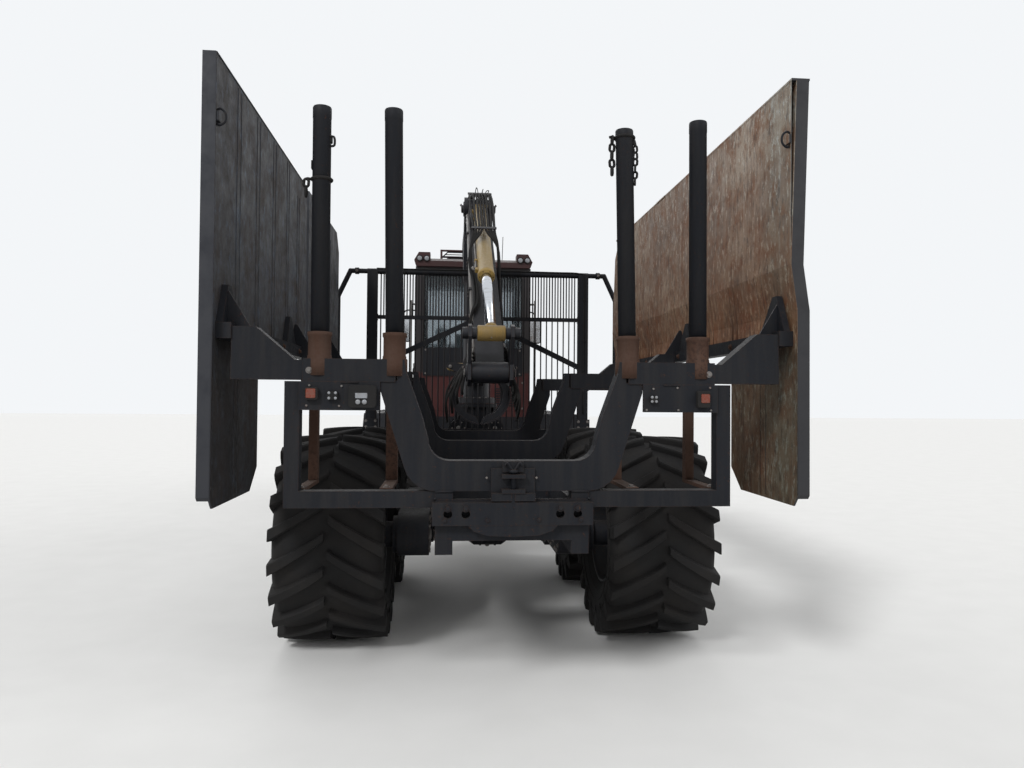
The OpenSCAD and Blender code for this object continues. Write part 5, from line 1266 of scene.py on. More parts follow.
def rotator_and_grapple():
    T = Y(TIP[0])
    p = Piece("rotator_fixings")
    # Ribbed motor housing, ports and bolts
    for z in (2.252, 2.288, 2.324):
        p.hoop("crane", [(0.104, z - 0.006), (0.1085, z - 0.004), (0.1085, z + 0.004), (0.104, z + 0.006)],
            44, move((0, T, 0)))
    for c, s in circle(0.078, 8, 22):
        p.stud((c, T + s, 2.365), 0.009)
    for x in (-0.074, -0.025, 0.025, 0.074):
        p.nut(0.014, 0, 0.022, 0.002, toward((0, 1, 0), (x, T + (0.086 if abs(x) > 0.05 else 0.100), 2.300)))
    for k in (-1, 1):
        keeper(p, (0, T + k * 0.0985, 2.425), (0, k, 0), 0.024)
    p.done("rotator_body")
    q = Piece("grapple_fixings")
    for c, s in circle(0.110, 10):
        q.add("bare", bolt(0.008), move((c, T + s, 2.205)) @ rotated(math.pi, "X"))
    for x in (-0.140, 0.140):
        for k in (-1, 1):
            q.lathe("bare", knob(0.030, 0.004, 0.022, 0.008), 24,
                toward((0, k, 0), (x, T + k * 0.1435, 1.950)))
    for k in (-1, 1):
        weld(q, [(-0.108, T + k * 0.0715, 2.205), (0.108, T + k * 0.0715, 2.205)], 0.006)
    # Hoses from the rotator's foot down the side plate, clear of the cylinder as it rises
    for k, x in ((0, -0.05), (1, 0.03)):
        q.pipe("hose", [(x, T + 0.101, 2.206), (x, T + 0.104, 2.15), (x * 1.3, T + 0.104, 2.07),
            (x * 1.5, T + 0.099, 2.02), (x * 1.5, T + 0.088, 2.00)], 0.009, 8, 6)
    q.done("grapple")


def pillar_fixings():
    p = Piece("pillar_fixings")
    C = Y(CRANE)
    for c, s in circle(0.200, 16, 11):
        p.stud((c, C + s, 1.665), 0.011)
    p.hoop("crane", [(0.149, 1.664), (0.166, 1.664), (0.150, 1.682)], 48, move((0, C, 0)))
    # Hoses up the front of the pillar
    rng = random.Random(7)
    for k in range(8):
        x = crane_hose_x(k)
        r = rng.choice(HOSE_SIZES)
        # Same draws as in head_hoses, so that each hose keeps its size there and here
        rng.uniform(0, 0.016)
        bow = pillar_bow(x)
        pts = [(x * 1.6, Y(4.99), 3.34), (x * 1.3, C + bow + 0.008, 3.12), (x * 0.95, C + bow, 2.80),
            (x * 0.9, C + bow, 2.30), (x * 0.9, C + bow + 0.002, 1.98), (x, C + bow + 0.012, 1.86)]
        p.pipe("hose", pts, r, 8, 5)
    for z in (2.10, 2.62, 3.02):
        p.hoop("crane", band(0.1505, 0.1525, z - 0.018, z + 0.018), 48, move((0, C, 0)))
        p.plate("crane", (-0.115, C + 0.150, z - 0.018), (0.115, C + 0.187, z + 0.018), 0.005)
    for side in (-1, 1):
        keeper(p, (side * 0.127, Y(4.61), 1.95), (side, 0, 0), 0.035)
        weld(p, [(side * 0.096, Y(4.75), 1.79), (side * 0.096, Y(4.75), 2.11)], 0.006)
        # Doubler rings at the foot pin
        at = move((side * 0.1595, Y(FOOT[0]), FOOT[1])) @ rotated(side * math.pi / 2, "Y")
        p.hoop("crane", [(0.046, 0.0), (0.085, 0.0), (0.083, 0.009), (0.078, 0.012), (0.046, 0.012)], 36, at)
    p.done("pillar")


def base_fixings():
    p = Piece("crane_base_fixings")
    C = Y(CRANE)
    for x, y in circle(0.292, 20, 9):
        if abs(abs(x) - 0.205) < 0.10 and abs(y) > 0.2:
            continue
        p.stud((x, C + y, 1.190), 0.015)
    for k in range(12):
        a = math.radians(30 * k)
        p.add("frame", slab((0.212, -0.009, 1.19), (0.240, 0.009, 1.56), 0.002),
            move((0, C, 0)) @ rotated(a, "Z"))
    # End caps of the slewing cylinders
    for x in (-0.205, 0.205):
        for k in (-1, 1):
            end = C + k * 0.350
            for c, s in circle(0.070, 6):
                p.screw((x + c, end, 1.330 + s), (0, k, 0), 0.010, False)
            p.lathe("bare", knob(0.024, 0.012, 0.012, 0.018), 20, toward((0, k, 0), (x, end, 1.330)))
            p.pipe("hose", [(x, C + k * 0.24, 1.408), (x, C + k * 0.24, 1.448),
                (x * 0.9, C + 0.12 + k * 0.16, 1.470), (x * 0.72, C + 0.36, 1.470), (x * 0.5, C + 0.42, 1.42),
                (x * 0.5, C + 0.44, 1.375)], 0.009, 8, 5)
    # Valve block with its spools and levers on the frame's neck
    y0, y1, z0 = Y(5.235), Y(5.345), 1.150
    p.plate("bare", (-0.150, y0, z0), (0.150, y1, z0 + 0.22), 0.006)
    for k in range(6):
        x = -0.120 + 0.048 * k
        for y, d in ((y0, -1), (y1, 1)):
            p.lathe("crane", knob(0.017, 0.030, 0.012, 0.036), 16, toward((0, d, 0), (x, y, z0 + 0.16)))
        p.pipe("yellow", [(x, y0 + 0.03, z0 + 0.22), (x, y0 + 0.028, z0 + 0.27), (x, y0 + 0.01, z0 + 0.315)],
            0.006, 8, 3)
        p.lathe("hose", [(0, 0), (0.011, 0.003), (0.013, 0.012), (0.010, 0.022), (0, 0.025)],
            12, toward((0, -0.3, 1), (x, y0 + 0.010, z0 + 0.312)))
    p.done("rear_frame")
    q = Piece("slew_hoses")
    for k in range(8):
        x = crane_hose_x(k)
        bow = pillar_bow(x)
        q.pipe("hose", [(x * 1.25, Y(5.29), 1.368), (x * 1.25, Y(5.285), 1.45), (x * 1.2, Y(5.20), 1.56),
            (x * 1.1, Y(5.12), 1.66), (x * 1.05, C + bow + 0.06, 1.77), (x, C + bow + 0.012, 1.86)],
            0.0115, 8, 6)
    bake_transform(q.done(None))


crane_rams()
boom_fixings()
jib_fixings()
tip_hoses()
rotator_and_grapple()
pillar_fixings()
base_fixings()


# Cab: seals, rails, mirrors, lamps, trim and the driver's place
CAB_L, CAB_TOP_L, CAB_HALF = 1.50, 1.37, 0.76
SILL, HEAD = 1.98, 3.28


def frame_loop(p, look, corners, r=0.010, sides=8):
    # Rubber strip round an opening, with its corners cut short
    pts = []
    n = len(corners)
    for i in range(n):
        here, before, after = Vector(corners[i]), Vector(corners[i - 1]), Vector(corners[(i + 1) % n])
        for other in (before, after):
            pts.append(here + (other - here).normalized() * 0.028)
    pts.append(pts[0])
    p.pipe(look, pts, r, sides, 1)


def cab_details():
    p = Piece("cab_details")
    y0, y1 = Y(CAB), Y(CAB + CAB_L)
    back, right, left = y0 - 0.002, CAB_HALF + 0.002, -CAB_HALF - 0.002
    frame_loop(p, "hose", [(-0.65, back, SILL), (0.65, back, SILL), (0.65, back, HEAD), (-0.65, back, HEAD)])
    frame_loop(p, "hose", window(right, 6.07, 7.24, SILL, HEAD))
    frame_loop(p, "hose", window(left, 6.05, 6.22, SILL, HEAD))
    # Windscreen seal along the sloping upper part
    slope = lambda z: y1 - 0.13 * max(0.0, z - 2.32) / 1.07
    for x in (-0.65, 0.65):
        p.pipe("hose", [(x, slope(z) + 0.001, z) for z in (2.0, 2.32, 2.32, HEAD)], 0.011, 8, 1)
    for z in (2.0, HEAD):
        p.pipe("hose", [(-0.65, slope(z) + 0.001, z), (0.65, slope(z) + 0.001, z)], 0.011, 8, 1)
    # Wipers, rear and front
    for x, y, z, turn, d in ((0.10, back - 0.018, SILL + 0.03, 0.30, -1),
            (-0.25, slope(2.05) + 0.018, 2.03, -0.35, 1)):
        tip = (x + 0.62 * math.sin(turn), y - (0 if d < 0 else 0.012), z + 0.62 * math.cos(turn))
        p.pipe("frame", [(x, y - 0.01 * d, z), (x, y, z), tip], 0.006, 6, 2)
        p.pipe("hose", [(tip[0] - 0.06, tip[1] - d * 0.010, tip[2] - 0.42),
            (tip[0], tip[1] - d * 0.010, tip[2]), (tip[0] + 0.02, tip[1] - d * 0.010, tip[2] + 0.14)],
            0.007, 6, 2)
        p.lathe("frame", knob(0.022, 0.02, 0.012, 0.028), 16, toward((0, d, 0), (x, y - d * 0.02, z)))
    # Gutters over the side windows, lid of the rear wall with its bolts and air slots
    for x in (left, right):
        p.pipe("frame", path_y((x, 6.00, 3.345), (x, 7.20, 3.345), (x, 7.27, 3.30)), 0.012, 8, 2)
    p.plate("body", (-0.70, back - 0.006, 1.50), (0.70, back, 1.90), 0.004)
    p.bolts([(x, back - 0.006, z) for x in (-0.66, -0.22, 0.22, 0.66) for z in (1.53, 1.87)], (0, -1, 0),
        0.009)
    for i in range(8):
        z = 1.56 + 0.032 * i
        p.plate("frame", (0.30, back - 0.016, z), (0.60, back - 0.006, z + 0.014), 0.003)
    # Right wall below the window: lid with its bolts and air slots
    p.plate("body", (right - 0.001, Y(6.20), 1.50), (right + 0.008, Y(7.00), 1.90), 0.004)
    p.bolts([(right + 0.008, Y(s), z) for s in (6.23, 6.60, 6.97) for z in (1.53, 1.87)], (1, 0, 0), 0.009)
    for i in range(9):
        z = 1.58 + 0.030 * i
        p.plate("frame", (right + 0.006, Y(6.32), z), (right + 0.016, Y(6.88), z + 0.013), 0.003)
    # Grab rails beside the door and on the right
    for x, s in ((-0.825, 6.20), (-0.825, 7.22), (0.825, 6.02)):
        side = -1 if x < 0 else 1
        low, high = (1.62, 2.92) if s < 7 else (1.62, 2.16)
        pts = path_y((side * 0.758, s, low), (x, s, low), (x, s, low + 0.05), (x, s, high - 0.05),
            (x, s, high), (side * 0.758, s, high))
        p.pipe("bare", pts, 0.013, 10, 3)
        for z in (low, high):
            p.lathe("bare", [(0, 0), (0.028, 0), (0.028, 0.006), (0, 0.008)],
                16, toward((side, 0, 0), (side * 0.759, Y(s), z)))
    # Mirrors on bent arms
    for side in (-1, 1):
        arm = path_y((side * 0.75, 7.33, 2.95), (side * 0.86, 7.40, 2.98), (side * 0.98, 7.42, 2.96),
            (side * 0.99, 7.42, 2.80), (side * 0.99, 7.42, 2.50))
        p.pipe("frame", arm, 0.011, 8, 4)
        place = move((side * 0.985, Y(7.395), 2.68)) @ rotated(math.pi / 2, "X")
        p.add("hose", prism(rounded(0.19, 0.36, 0.035), -0.028, 0.022, 0.010), place)
        p.add("chrome", prism(rounded(0.165, 0.335, 0.026), 0.021, 0.0245, 0.001), place)
    # Lenses of the roof lamps with their rims, front and rear
    for side in (-1, 1):
        for x in (0.615, 0.708):
            for y, d in ((Y(CAB) - 0.075, -1), (Y(CAB + CAB_TOP_L) + 0.095, 1)):
                place = toward((0, d, 0), (side * x, y, 3.488))
                p.hoop("hose", [(0.030, -0.01), (0.0415, -0.01), (0.0415, 0.006), (0.036, 0.009),
                    (0.030, 0.004)], 28, place)
                p.lathe("white", [(0, 0.0), (0.033, 0.0), (0.031, 0.004), (0.018, 0.008), (0, 0.009)],
                    24, place)
    # Hatch lid with its ribs and rails
    p.plate("roof", (-0.44, Y(CAB + 0.42), 3.560), (0.08, Y(CAB + 0.88), 3.574), 0.006)
    for x in (-0.33, -0.18, -0.03):
        p.plate("roof", (x - 0.02, Y(CAB + 0.46), 3.573), (x + 0.02, Y(CAB + 0.84), 3.584), 0.004)
    for s in (0.42, 0.88):
        p.pipe("frame", path_y((-0.440, CAB + s, 3.575), (-0.345, CAB + s, 3.668), (0.050, CAB + s, 3.668),
            (0.075, CAB + s, 3.575)), 0.0085, 8, 1)
        for z in (3.605, 3.636):
            p.pipe("frame", [(-0.44 + (z - 3.575), Y(CAB + s), z), (0.065, Y(CAB + s), z)], 0.006, 6, 1)
    # Dark guard plate over the lower part of the rear window
    p.plate("frame", (-0.655, back - 0.012, 1.955), (0.655, back - 0.004, 2.325), 0.003)
    p.bolts([(x, back - 0.012, z) for x in (-0.62, 0.0, 0.62) for z in (1.985, 2.295)], (0, -1, 0), 0.008)
    p.pipe("hose", path_y((0.40, CAB + 0.30, 3.50), (0.40, CAB + 0.30, 3.56), (0.41, CAB + 0.32, 3.88)),
        0.0045, 6, 2)
    p.lathe("hose", [(0, 0), (0.022, 0), (0.020, 0.014), (0.010, 0.03), (0, 0.032)],
        16, move((0.40, Y(CAB + 0.30), 3.508)))
    # Rubber feet under the floor
    for x in (-0.60, 0.60):
        for s in (CAB + 0.05, CAB + 1.41):
            p.lathe("hose", [(0, 0), (0.062, 0), (0.050, 0.03), (0.062, 0.06), (0, 0.06)],
                24, move((x, Y(s), 1.362)))
    p.done("front_frame")


def cab_inside():
    p = Piece("cab_trim")
    y0 = Y(CAB)
    # Dark liners inside the lower walls, floor mat and head lining
    p.plate("trim", (-0.705, y0 + 0.052, 1.475), (0.705, y0 + 0.062, 1.960), 0.004)
    p.plate("trim", (0.696, y0 + 0.07, 1.475), (0.706, y0 + 1.44, 1.960), 0.004)
    p.plate("trim", (-0.706, y0 + 1.18, 1.475), (-0.696, y0 + 1.44, 1.960), 0.004)
    p.plate("trim", (-0.706, y0 + 0.07, 1.475), (-0.696, y0 + 0.31, 1.960), 0.004)
    p.plate("trim", (-0.705, y0 + 1.438, 1.475), (0.705, y0 + 1.448, 1.980), 0.004)
    p.plate("hose", (-0.700, y0 + 0.065, 1.471), (0.700, y0 + 1.43, 1.479), 0.003)
    for i in range(14):
        x = -0.65 + 0.1 * i
        p.plate("hose", (x - 0.018, y0 + 0.98, 1.479), (x + 0.018, y0 + 1.40, 1.483), 0.001)
    p.plate("trim", (-0.70, y0 + 0.06, 3.300), (0.70, y0 + 1.28, 3.325), 0.006)
    # Dash with a round-edged top, dials, steering column and wheel
    p.add("trim", prism([(-0.30, 1.48), (-0.24, 1.90), (-0.33, 2.06), (-0.29, 2.11), (0.29, 2.11),
        (0.33, 2.06), (0.24, 1.90), (0.30, 1.48)], 0, 0.10, 0.012), move((0, y0 + 1.42, 0)) @ UPRIGHT)
    for x in (-0.16, -0.05, 0.06, 0.17):
        place = toward((0, -1, 0.25), (x, y0 + 1.318, 2.03))
        p.hoop("bare", [(0.028, 0), (0.036, 0), (0.036, 0.010), (0.028, 0.007)], 24, place)
        p.add("white", turned([(0, 0.001), (0.029, 0.001), (0.029, 0.004), (0, 0.005)], 24), place)
    wheel = toward((0, -0.50, 0.85), (0, y0 + 1.15, 2.16))
    loop = [(c, s, 0) for c, s in arc(0.155, range(0, 361, 15))]
    p.pipe("hose", loop, 0.013, 10, 1, place=wheel)
    for c, s in arc(1, (90, 210, 330)):
        p.pipe("trim", [(0.03 * c, 0.03 * s, -0.02), (0.10 * c, 0.10 * s, -0.008), (0.152 * c, 0.152 * s, 0)],
            0.009, 6, 2, place=wheel)
    p.lathe("trim", [(0, -0.035), (0.042, -0.03), (0.040, -0.008), (0.02, 0), (0, 0)], 24, wheel)
    p.pipe("trim", [(0, y0 + 1.165, 2.125), (0, y0 + 1.25, 1.93), (0, y0 + 1.36, 1.70)], 0.030, 12, 3)
    # Pedals
    for x in (-0.20, 0.16, 0.26):
        p.add("hose", slab((-0.040, -0.07, -0.006), (0.040, 0.07, 0.006), 0.004),
            move((x, y0 + 1.28, 1.56)) @ rotated(math.radians(38), "X"))
        p.pipe("bare", [(x, y0 + 1.30, 1.55), (x, y0 + 1.36, 1.50), (x, y0 + 1.38, 1.475)], 0.008, 6, 2)
    # Screen on a stalk at the right front post
    p.pipe("bare", [(0.62, y0 + 1.38, 2.00), (0.60, y0 + 1.33, 2.20), (0.56, y0 + 1.28, 2.36)], 0.011, 8, 3)
    p.add("trim", prism(rounded(0.26, 0.19, 0.012), -0.014, 0.016, 0.004),
        toward((-0.45, -1, 0.05), (0.55, y0 + 1.27, 2.42)))
    p.add("glass_dark", prism(rounded(0.235, 0.165, 0.006), 0.0155, 0.018, 0.001),
        toward((-0.45, -1, 0.05), (0.55, y0 + 1.27, 2.42)))
    p.done("front_frame")


def pad_form(w, d, h, crown, pull, channels, nx=28, ny=28):
    # Crowned pad: sides drawn in between the corners, sewn channels across the top
    points, faces = [], []

    def level(u, v, top):
        edge = (1 - abs(u) ** 6) * (1 - abs(v) ** 6)
        z = 0.5 * h * edge ** 0.32 + (crown * (1 - u * u) * (1 - v * v) if top else 0)
        if top:
            for c in channels:
                z -= 0.010 * math.exp(-((v - c) / 0.035) ** 2) * min(1, 4 * edge)
        return z

    for top in (1, 0):
        for j in range(ny + 1):
            for i in range(nx + 1):
                u, v = -1 + 2 * i / nx, -1 + 2 * j / ny
                x = u * (w / 2) * (1 - pull * (1 - v * v))
                y = v * (d / 2) * (1 - pull * (1 - u * u))
                z = level(u, v, top) * (1 if top else -0.9)
                if max(abs(u), abs(v)) > 0.999 and not top:
                    z = 0
                points.append((x, y, z))
    n = (nx + 1) * (ny + 1)
    index = lambda t, i, j: (0 if t or i in (0, nx) or j in (0, ny) else n) + j * (nx + 1) + i
    for j in range(ny):
        for i in range(nx):
            faces.append((index(1, i, j), index(1, i + 1, j), index(1, i + 1, j + 1), index(1, i, j + 1)))
            faces.append((index(0, i, j + 1), index(0, i + 1, j + 1), index(0, i + 1, j), index(0, i, j)))
    used = sorted({k for f in faces for k in f})
    remap = {k: i for i, k in enumerate(used)}
    return [points[k] for k in used], [tuple(remap[k] for k in f) for f in faces]


def driver_seat():
    y0, f = Y(CAB), 1.42
    q = Piece("seat_frame")
    q.hoop("trim", band(0.06, 0.150, f + 0.052, f + 0.075), 32, move((0, y0 + 0.70, 0)))
    # Bellows of the sprung column
    folds = [(0.132 + (0.010 if k % 2 else -0.004), f + 0.08 + 0.022 * k) for k in range(12)]
    bellows = [(0.0, f + 0.07)] + folds + [(0.0, f + 0.345)]
    q.lathe("hose", bellows, 36, move((0, y0 + 0.70, 0)))
    q.plate("trim", (-0.235, y0 + 0.47, f + 0.340), (0.235, y0 + 0.94, f + 0.385), 0.014)
    q.plate("trim", (-0.20, y0 + 0.372, f + 0.44), (0.20, y0 + 0.402, f + 1.10), 0.010)
    for side in (-1, 1):
        q.pipe("trim", [(side * 0.278, y0 + 0.64, f + 0.42), (side * 0.285, y0 + 0.60, f + 0.52),
            (side * 0.300, y0 + 0.58, f + 0.625)], 0.020, 10, 3)
        q.add("trim", prism(rounded(0.090, 0.46, 0.030), 0, 0.030, 0.008),
            move((side * 0.315, y0 + 0.72, f + 0.620)))
        q.add("trim", prism(rounded(0.095, 0.13, 0.030), 0, 0.045, 0.010),
            move((side * 0.315, y0 + 0.90, f + 0.640)))
        q.lathe("hose", [(0, 0), (0.030, 0), (0.024, 0.02), (0.015, 0.035), (0.013, 0.06), (0, 0.06)],
            20, move((side * 0.315, y0 + 0.90, f + 0.683)))
        q.lathe("hose", [(0, 0), (0.017, 0.004), (0.022, 0.05), (0.021, 0.085), (0.012, 0.105), (0, 0.108)],
            20, move((side * 0.315, y0 + 0.905, f + 0.735)) @ rotated(0.12, "X"))
    q.done("front_frame", ["cab_seat"])
    tilt = rotated(math.radians(97), "X") @ rotated(math.pi, "Y")
    shapes = [
        ("seat_pad", pad_form(0.50, 0.49, 0.11, 0.018, 0.035, (-0.35, 0.30)),
            move((0, y0 + 0.71, f + 0.430))),
        ("seat_back_pad", pad_form(0.46, 0.66, 0.11, 0.016, 0.045, (-0.45, 0.0, 0.45)),
         move((0, y0 + 0.452, f + 0.80)) @ tilt @ rotated(math.pi, "Z")),
        ("seat_head_pad", pad_form(0.27, 0.15, 0.08, 0.010, 0.06, ()),
            move((0, y0 + 0.395, f + 1.15)) @ tilt),
    ]
    for name, side in (("arm_pad_left", -1), ("arm_pad_right", 1)):
        arm = pad_form(0.085, 0.30, 0.040, 0.006, 0.02, ())
        shapes.append((name, arm, move((side * 0.315, y0 + 0.66, f + 0.668))))
    for name, shape, place in shapes:
        pad = Piece(name).add("seat", shape, place, True).done("front_frame")


def door_details():
    p = Piece("door_details")
    x = -CAB_HALF - 0.002
    frame_loop(p, "hose", window(x, 6.36, 7.02, 2.03, 3.26))
    frame_loop(p, "hose", window(x + 0.054, 6.31, 7.07, 1.53, 3.31), 0.007)
    # Pressed panel, handle with its dish, lock and inner strap
    p.plate("body", (x - 0.006, Y(6.40), 1.58), (x + 0.001, Y(6.98), 1.95), 0.004)
    p.add("frame", prism(rounded(0.13, 0.075, 0.018), 0, 0.006, 0.002),
        frame_at((x, Y(6.345), 2.02), (-1, 0, 0), (0, 0, 1)))
    p.pipe("hose", path_y((x - 0.005, 6.345, 1.972), (x - 0.032, 6.345, 1.985), (x - 0.034, 6.345, 2.055),
        (x - 0.005, 6.345, 2.068)), 0.009, 8, 4)
    p.lathe("bare", [(0, 0), (0.012, 0), (0.012, 0.006), (0, 0.008)],
        16, toward((-1, 0, 0), (x - 0.005, Y(6.345), 1.945)))
    p.plate("trim", (-0.708, Y(6.33), 1.56), (-0.699, Y(7.05), 1.98), 0.004)
    p.pipe("bare", path_y((-0.700, 6.45, 2.00), (-0.655, 6.45, 2.00), (-0.650, 6.52, 2.00),
        (-0.650, 6.86, 2.00), (-0.655, 6.93, 2.00), (-0.700, 6.93, 2.00)), 0.010, 8, 3)
    p.done("door_body")


# Bonnet with louvre blades, mesh, latches and the engine under it
BONNET_BACK, BONNET_NOSE = 7.472, 9.49


def bonnet_details():
    p = Piece("bonnet_details")
    for side in (-1, 1):
        x = side * 0.66
        inner = side * 0.630
        for i in range(7):
            y = Y(BONNET_BACK + 0.53 + 0.11 * i)
            # Blade turned out of the opening, with folded lips
            blade = slab((-0.026, -0.003, 1.705), (0.026, 0.003, 2.145), 0.002)
            p.add("hood", blade, move((side * 0.648, y, 0)) @ rotated(side * math.radians(52), "Z"))
            p.pipe("hood", [(x + side * 0.002, y - 0.034, 1.690), (x + side * 0.002, y - 0.034, 2.160)],
                0.0045, 6, 1)
            for z in (1.78, 1.86, 1.94, 2.02, 2.10):
                p.add("frame", tube([(inner, y - 0.05, z), (inner, y + 0.05, z)], 0.0028, 4, 1))
        frame_loop(p, "hood", window(x + side * 0.003, 7.90, 8.78, 1.62, 2.21), 0.006)
        frame_loop(p, "hood", path_y((x + side * 0.002, 7.50, 1.29), (x + side * 0.002, 9.46, 1.29),
            (x + side * 0.002, 9.46, 1.98), (x + side * 0.002, 9.34, 2.14), (x + side * 0.002, 8.37, 2.43),
            (x + side * 0.002, 7.50, 2.43)), 0.004)
        # Rubber latches and handles
        for s in (7.66, 9.10):
            p.plate("hose", (min(x, x + side * 0.018), Y(s) - 0.016, 1.30),
                (max(x, x + side * 0.018), Y(s) + 0.016, 1.40), 0.006)
            p.lathe("bare", knob(0.014, 0.010, 0.008, 0.016), 16,
                toward((side, 0, 0), (x + side * 0.014, Y(s), 1.385)))
        p.pipe("bare", path_y((x, 9.20, 1.55), (x + side * 0.04, 9.20, 1.55), (x + side * 0.042, 9.20, 1.60),
            (x + side * 0.042, 9.20, 1.74), (x + side * 0.04, 9.20, 1.79), (x, 9.20, 1.79)), 0.009, 8, 3)
        # Beads along the upper edges
        p.pipe("hood", path_y((side * 0.655, 7.48, 2.477), (side * 0.655, 8.372, 2.477),
            (side * 0.655, 9.37, 2.177), (side * 0.655, 9.487, 2.02)), 0.007, 8, 1)
    # Nose: slats, mesh and rim
    y = Y(BONNET_NOSE)
    for i in range(-4, 5):
        for dx in (-0.036, 0.036):
            p.pipe("hood", [(0.12 * i + dx, y + 0.002, 1.445), (0.12 * i + dx, y + 0.002, 1.955)],
                0.0045, 6, 1)
    for k in range(22):
        z = 1.455 + 0.0225 * k
        p.add("frame", tube([(-0.53, y - 0.034, z), (0.53, y - 0.034, z)], 0.0026, 4, 1))
    for k in range(48):
        x = -0.53 + 1.06 * k / 47
        p.add("frame", tube([(x, y - 0.031, 1.45), (x, y - 0.031, 1.95)], 0.0022, 4, 1))
    frame_loop(p, "hood", [(-0.57, y + 0.003, 1.40), (0.57, y + 0.003, 1.40), (0.57, y + 0.003, 2.0),
        (-0.57, y + 0.003, 2.0)], 0.008)
    # Ribs on the top and the air cleaner's rain cap
    for x in (-0.36, 0.0, 0.36):
        p.pipe("hood", path_y((x, 7.56, 2.479), (x, 8.34, 2.479), (x, 9.30, 2.203)), 0.010, 8, 2)
    p.lathe("hose", [(0, 2.47), (0.072, 2.47), (0.072, 2.60), (0.082, 2.61), (0.105, 2.63), (0.108, 2.70),
        (0.085, 2.74), (0.03, 2.755), (0, 2.756)], 36, move((-0.42, Y(7.78), 0)))
    p.hoop("bare", band(0.0722, 0.0745, 2.50, 2.52), 36, move((-0.42, Y(7.78), 0)))
    p.done("bonnet_body")


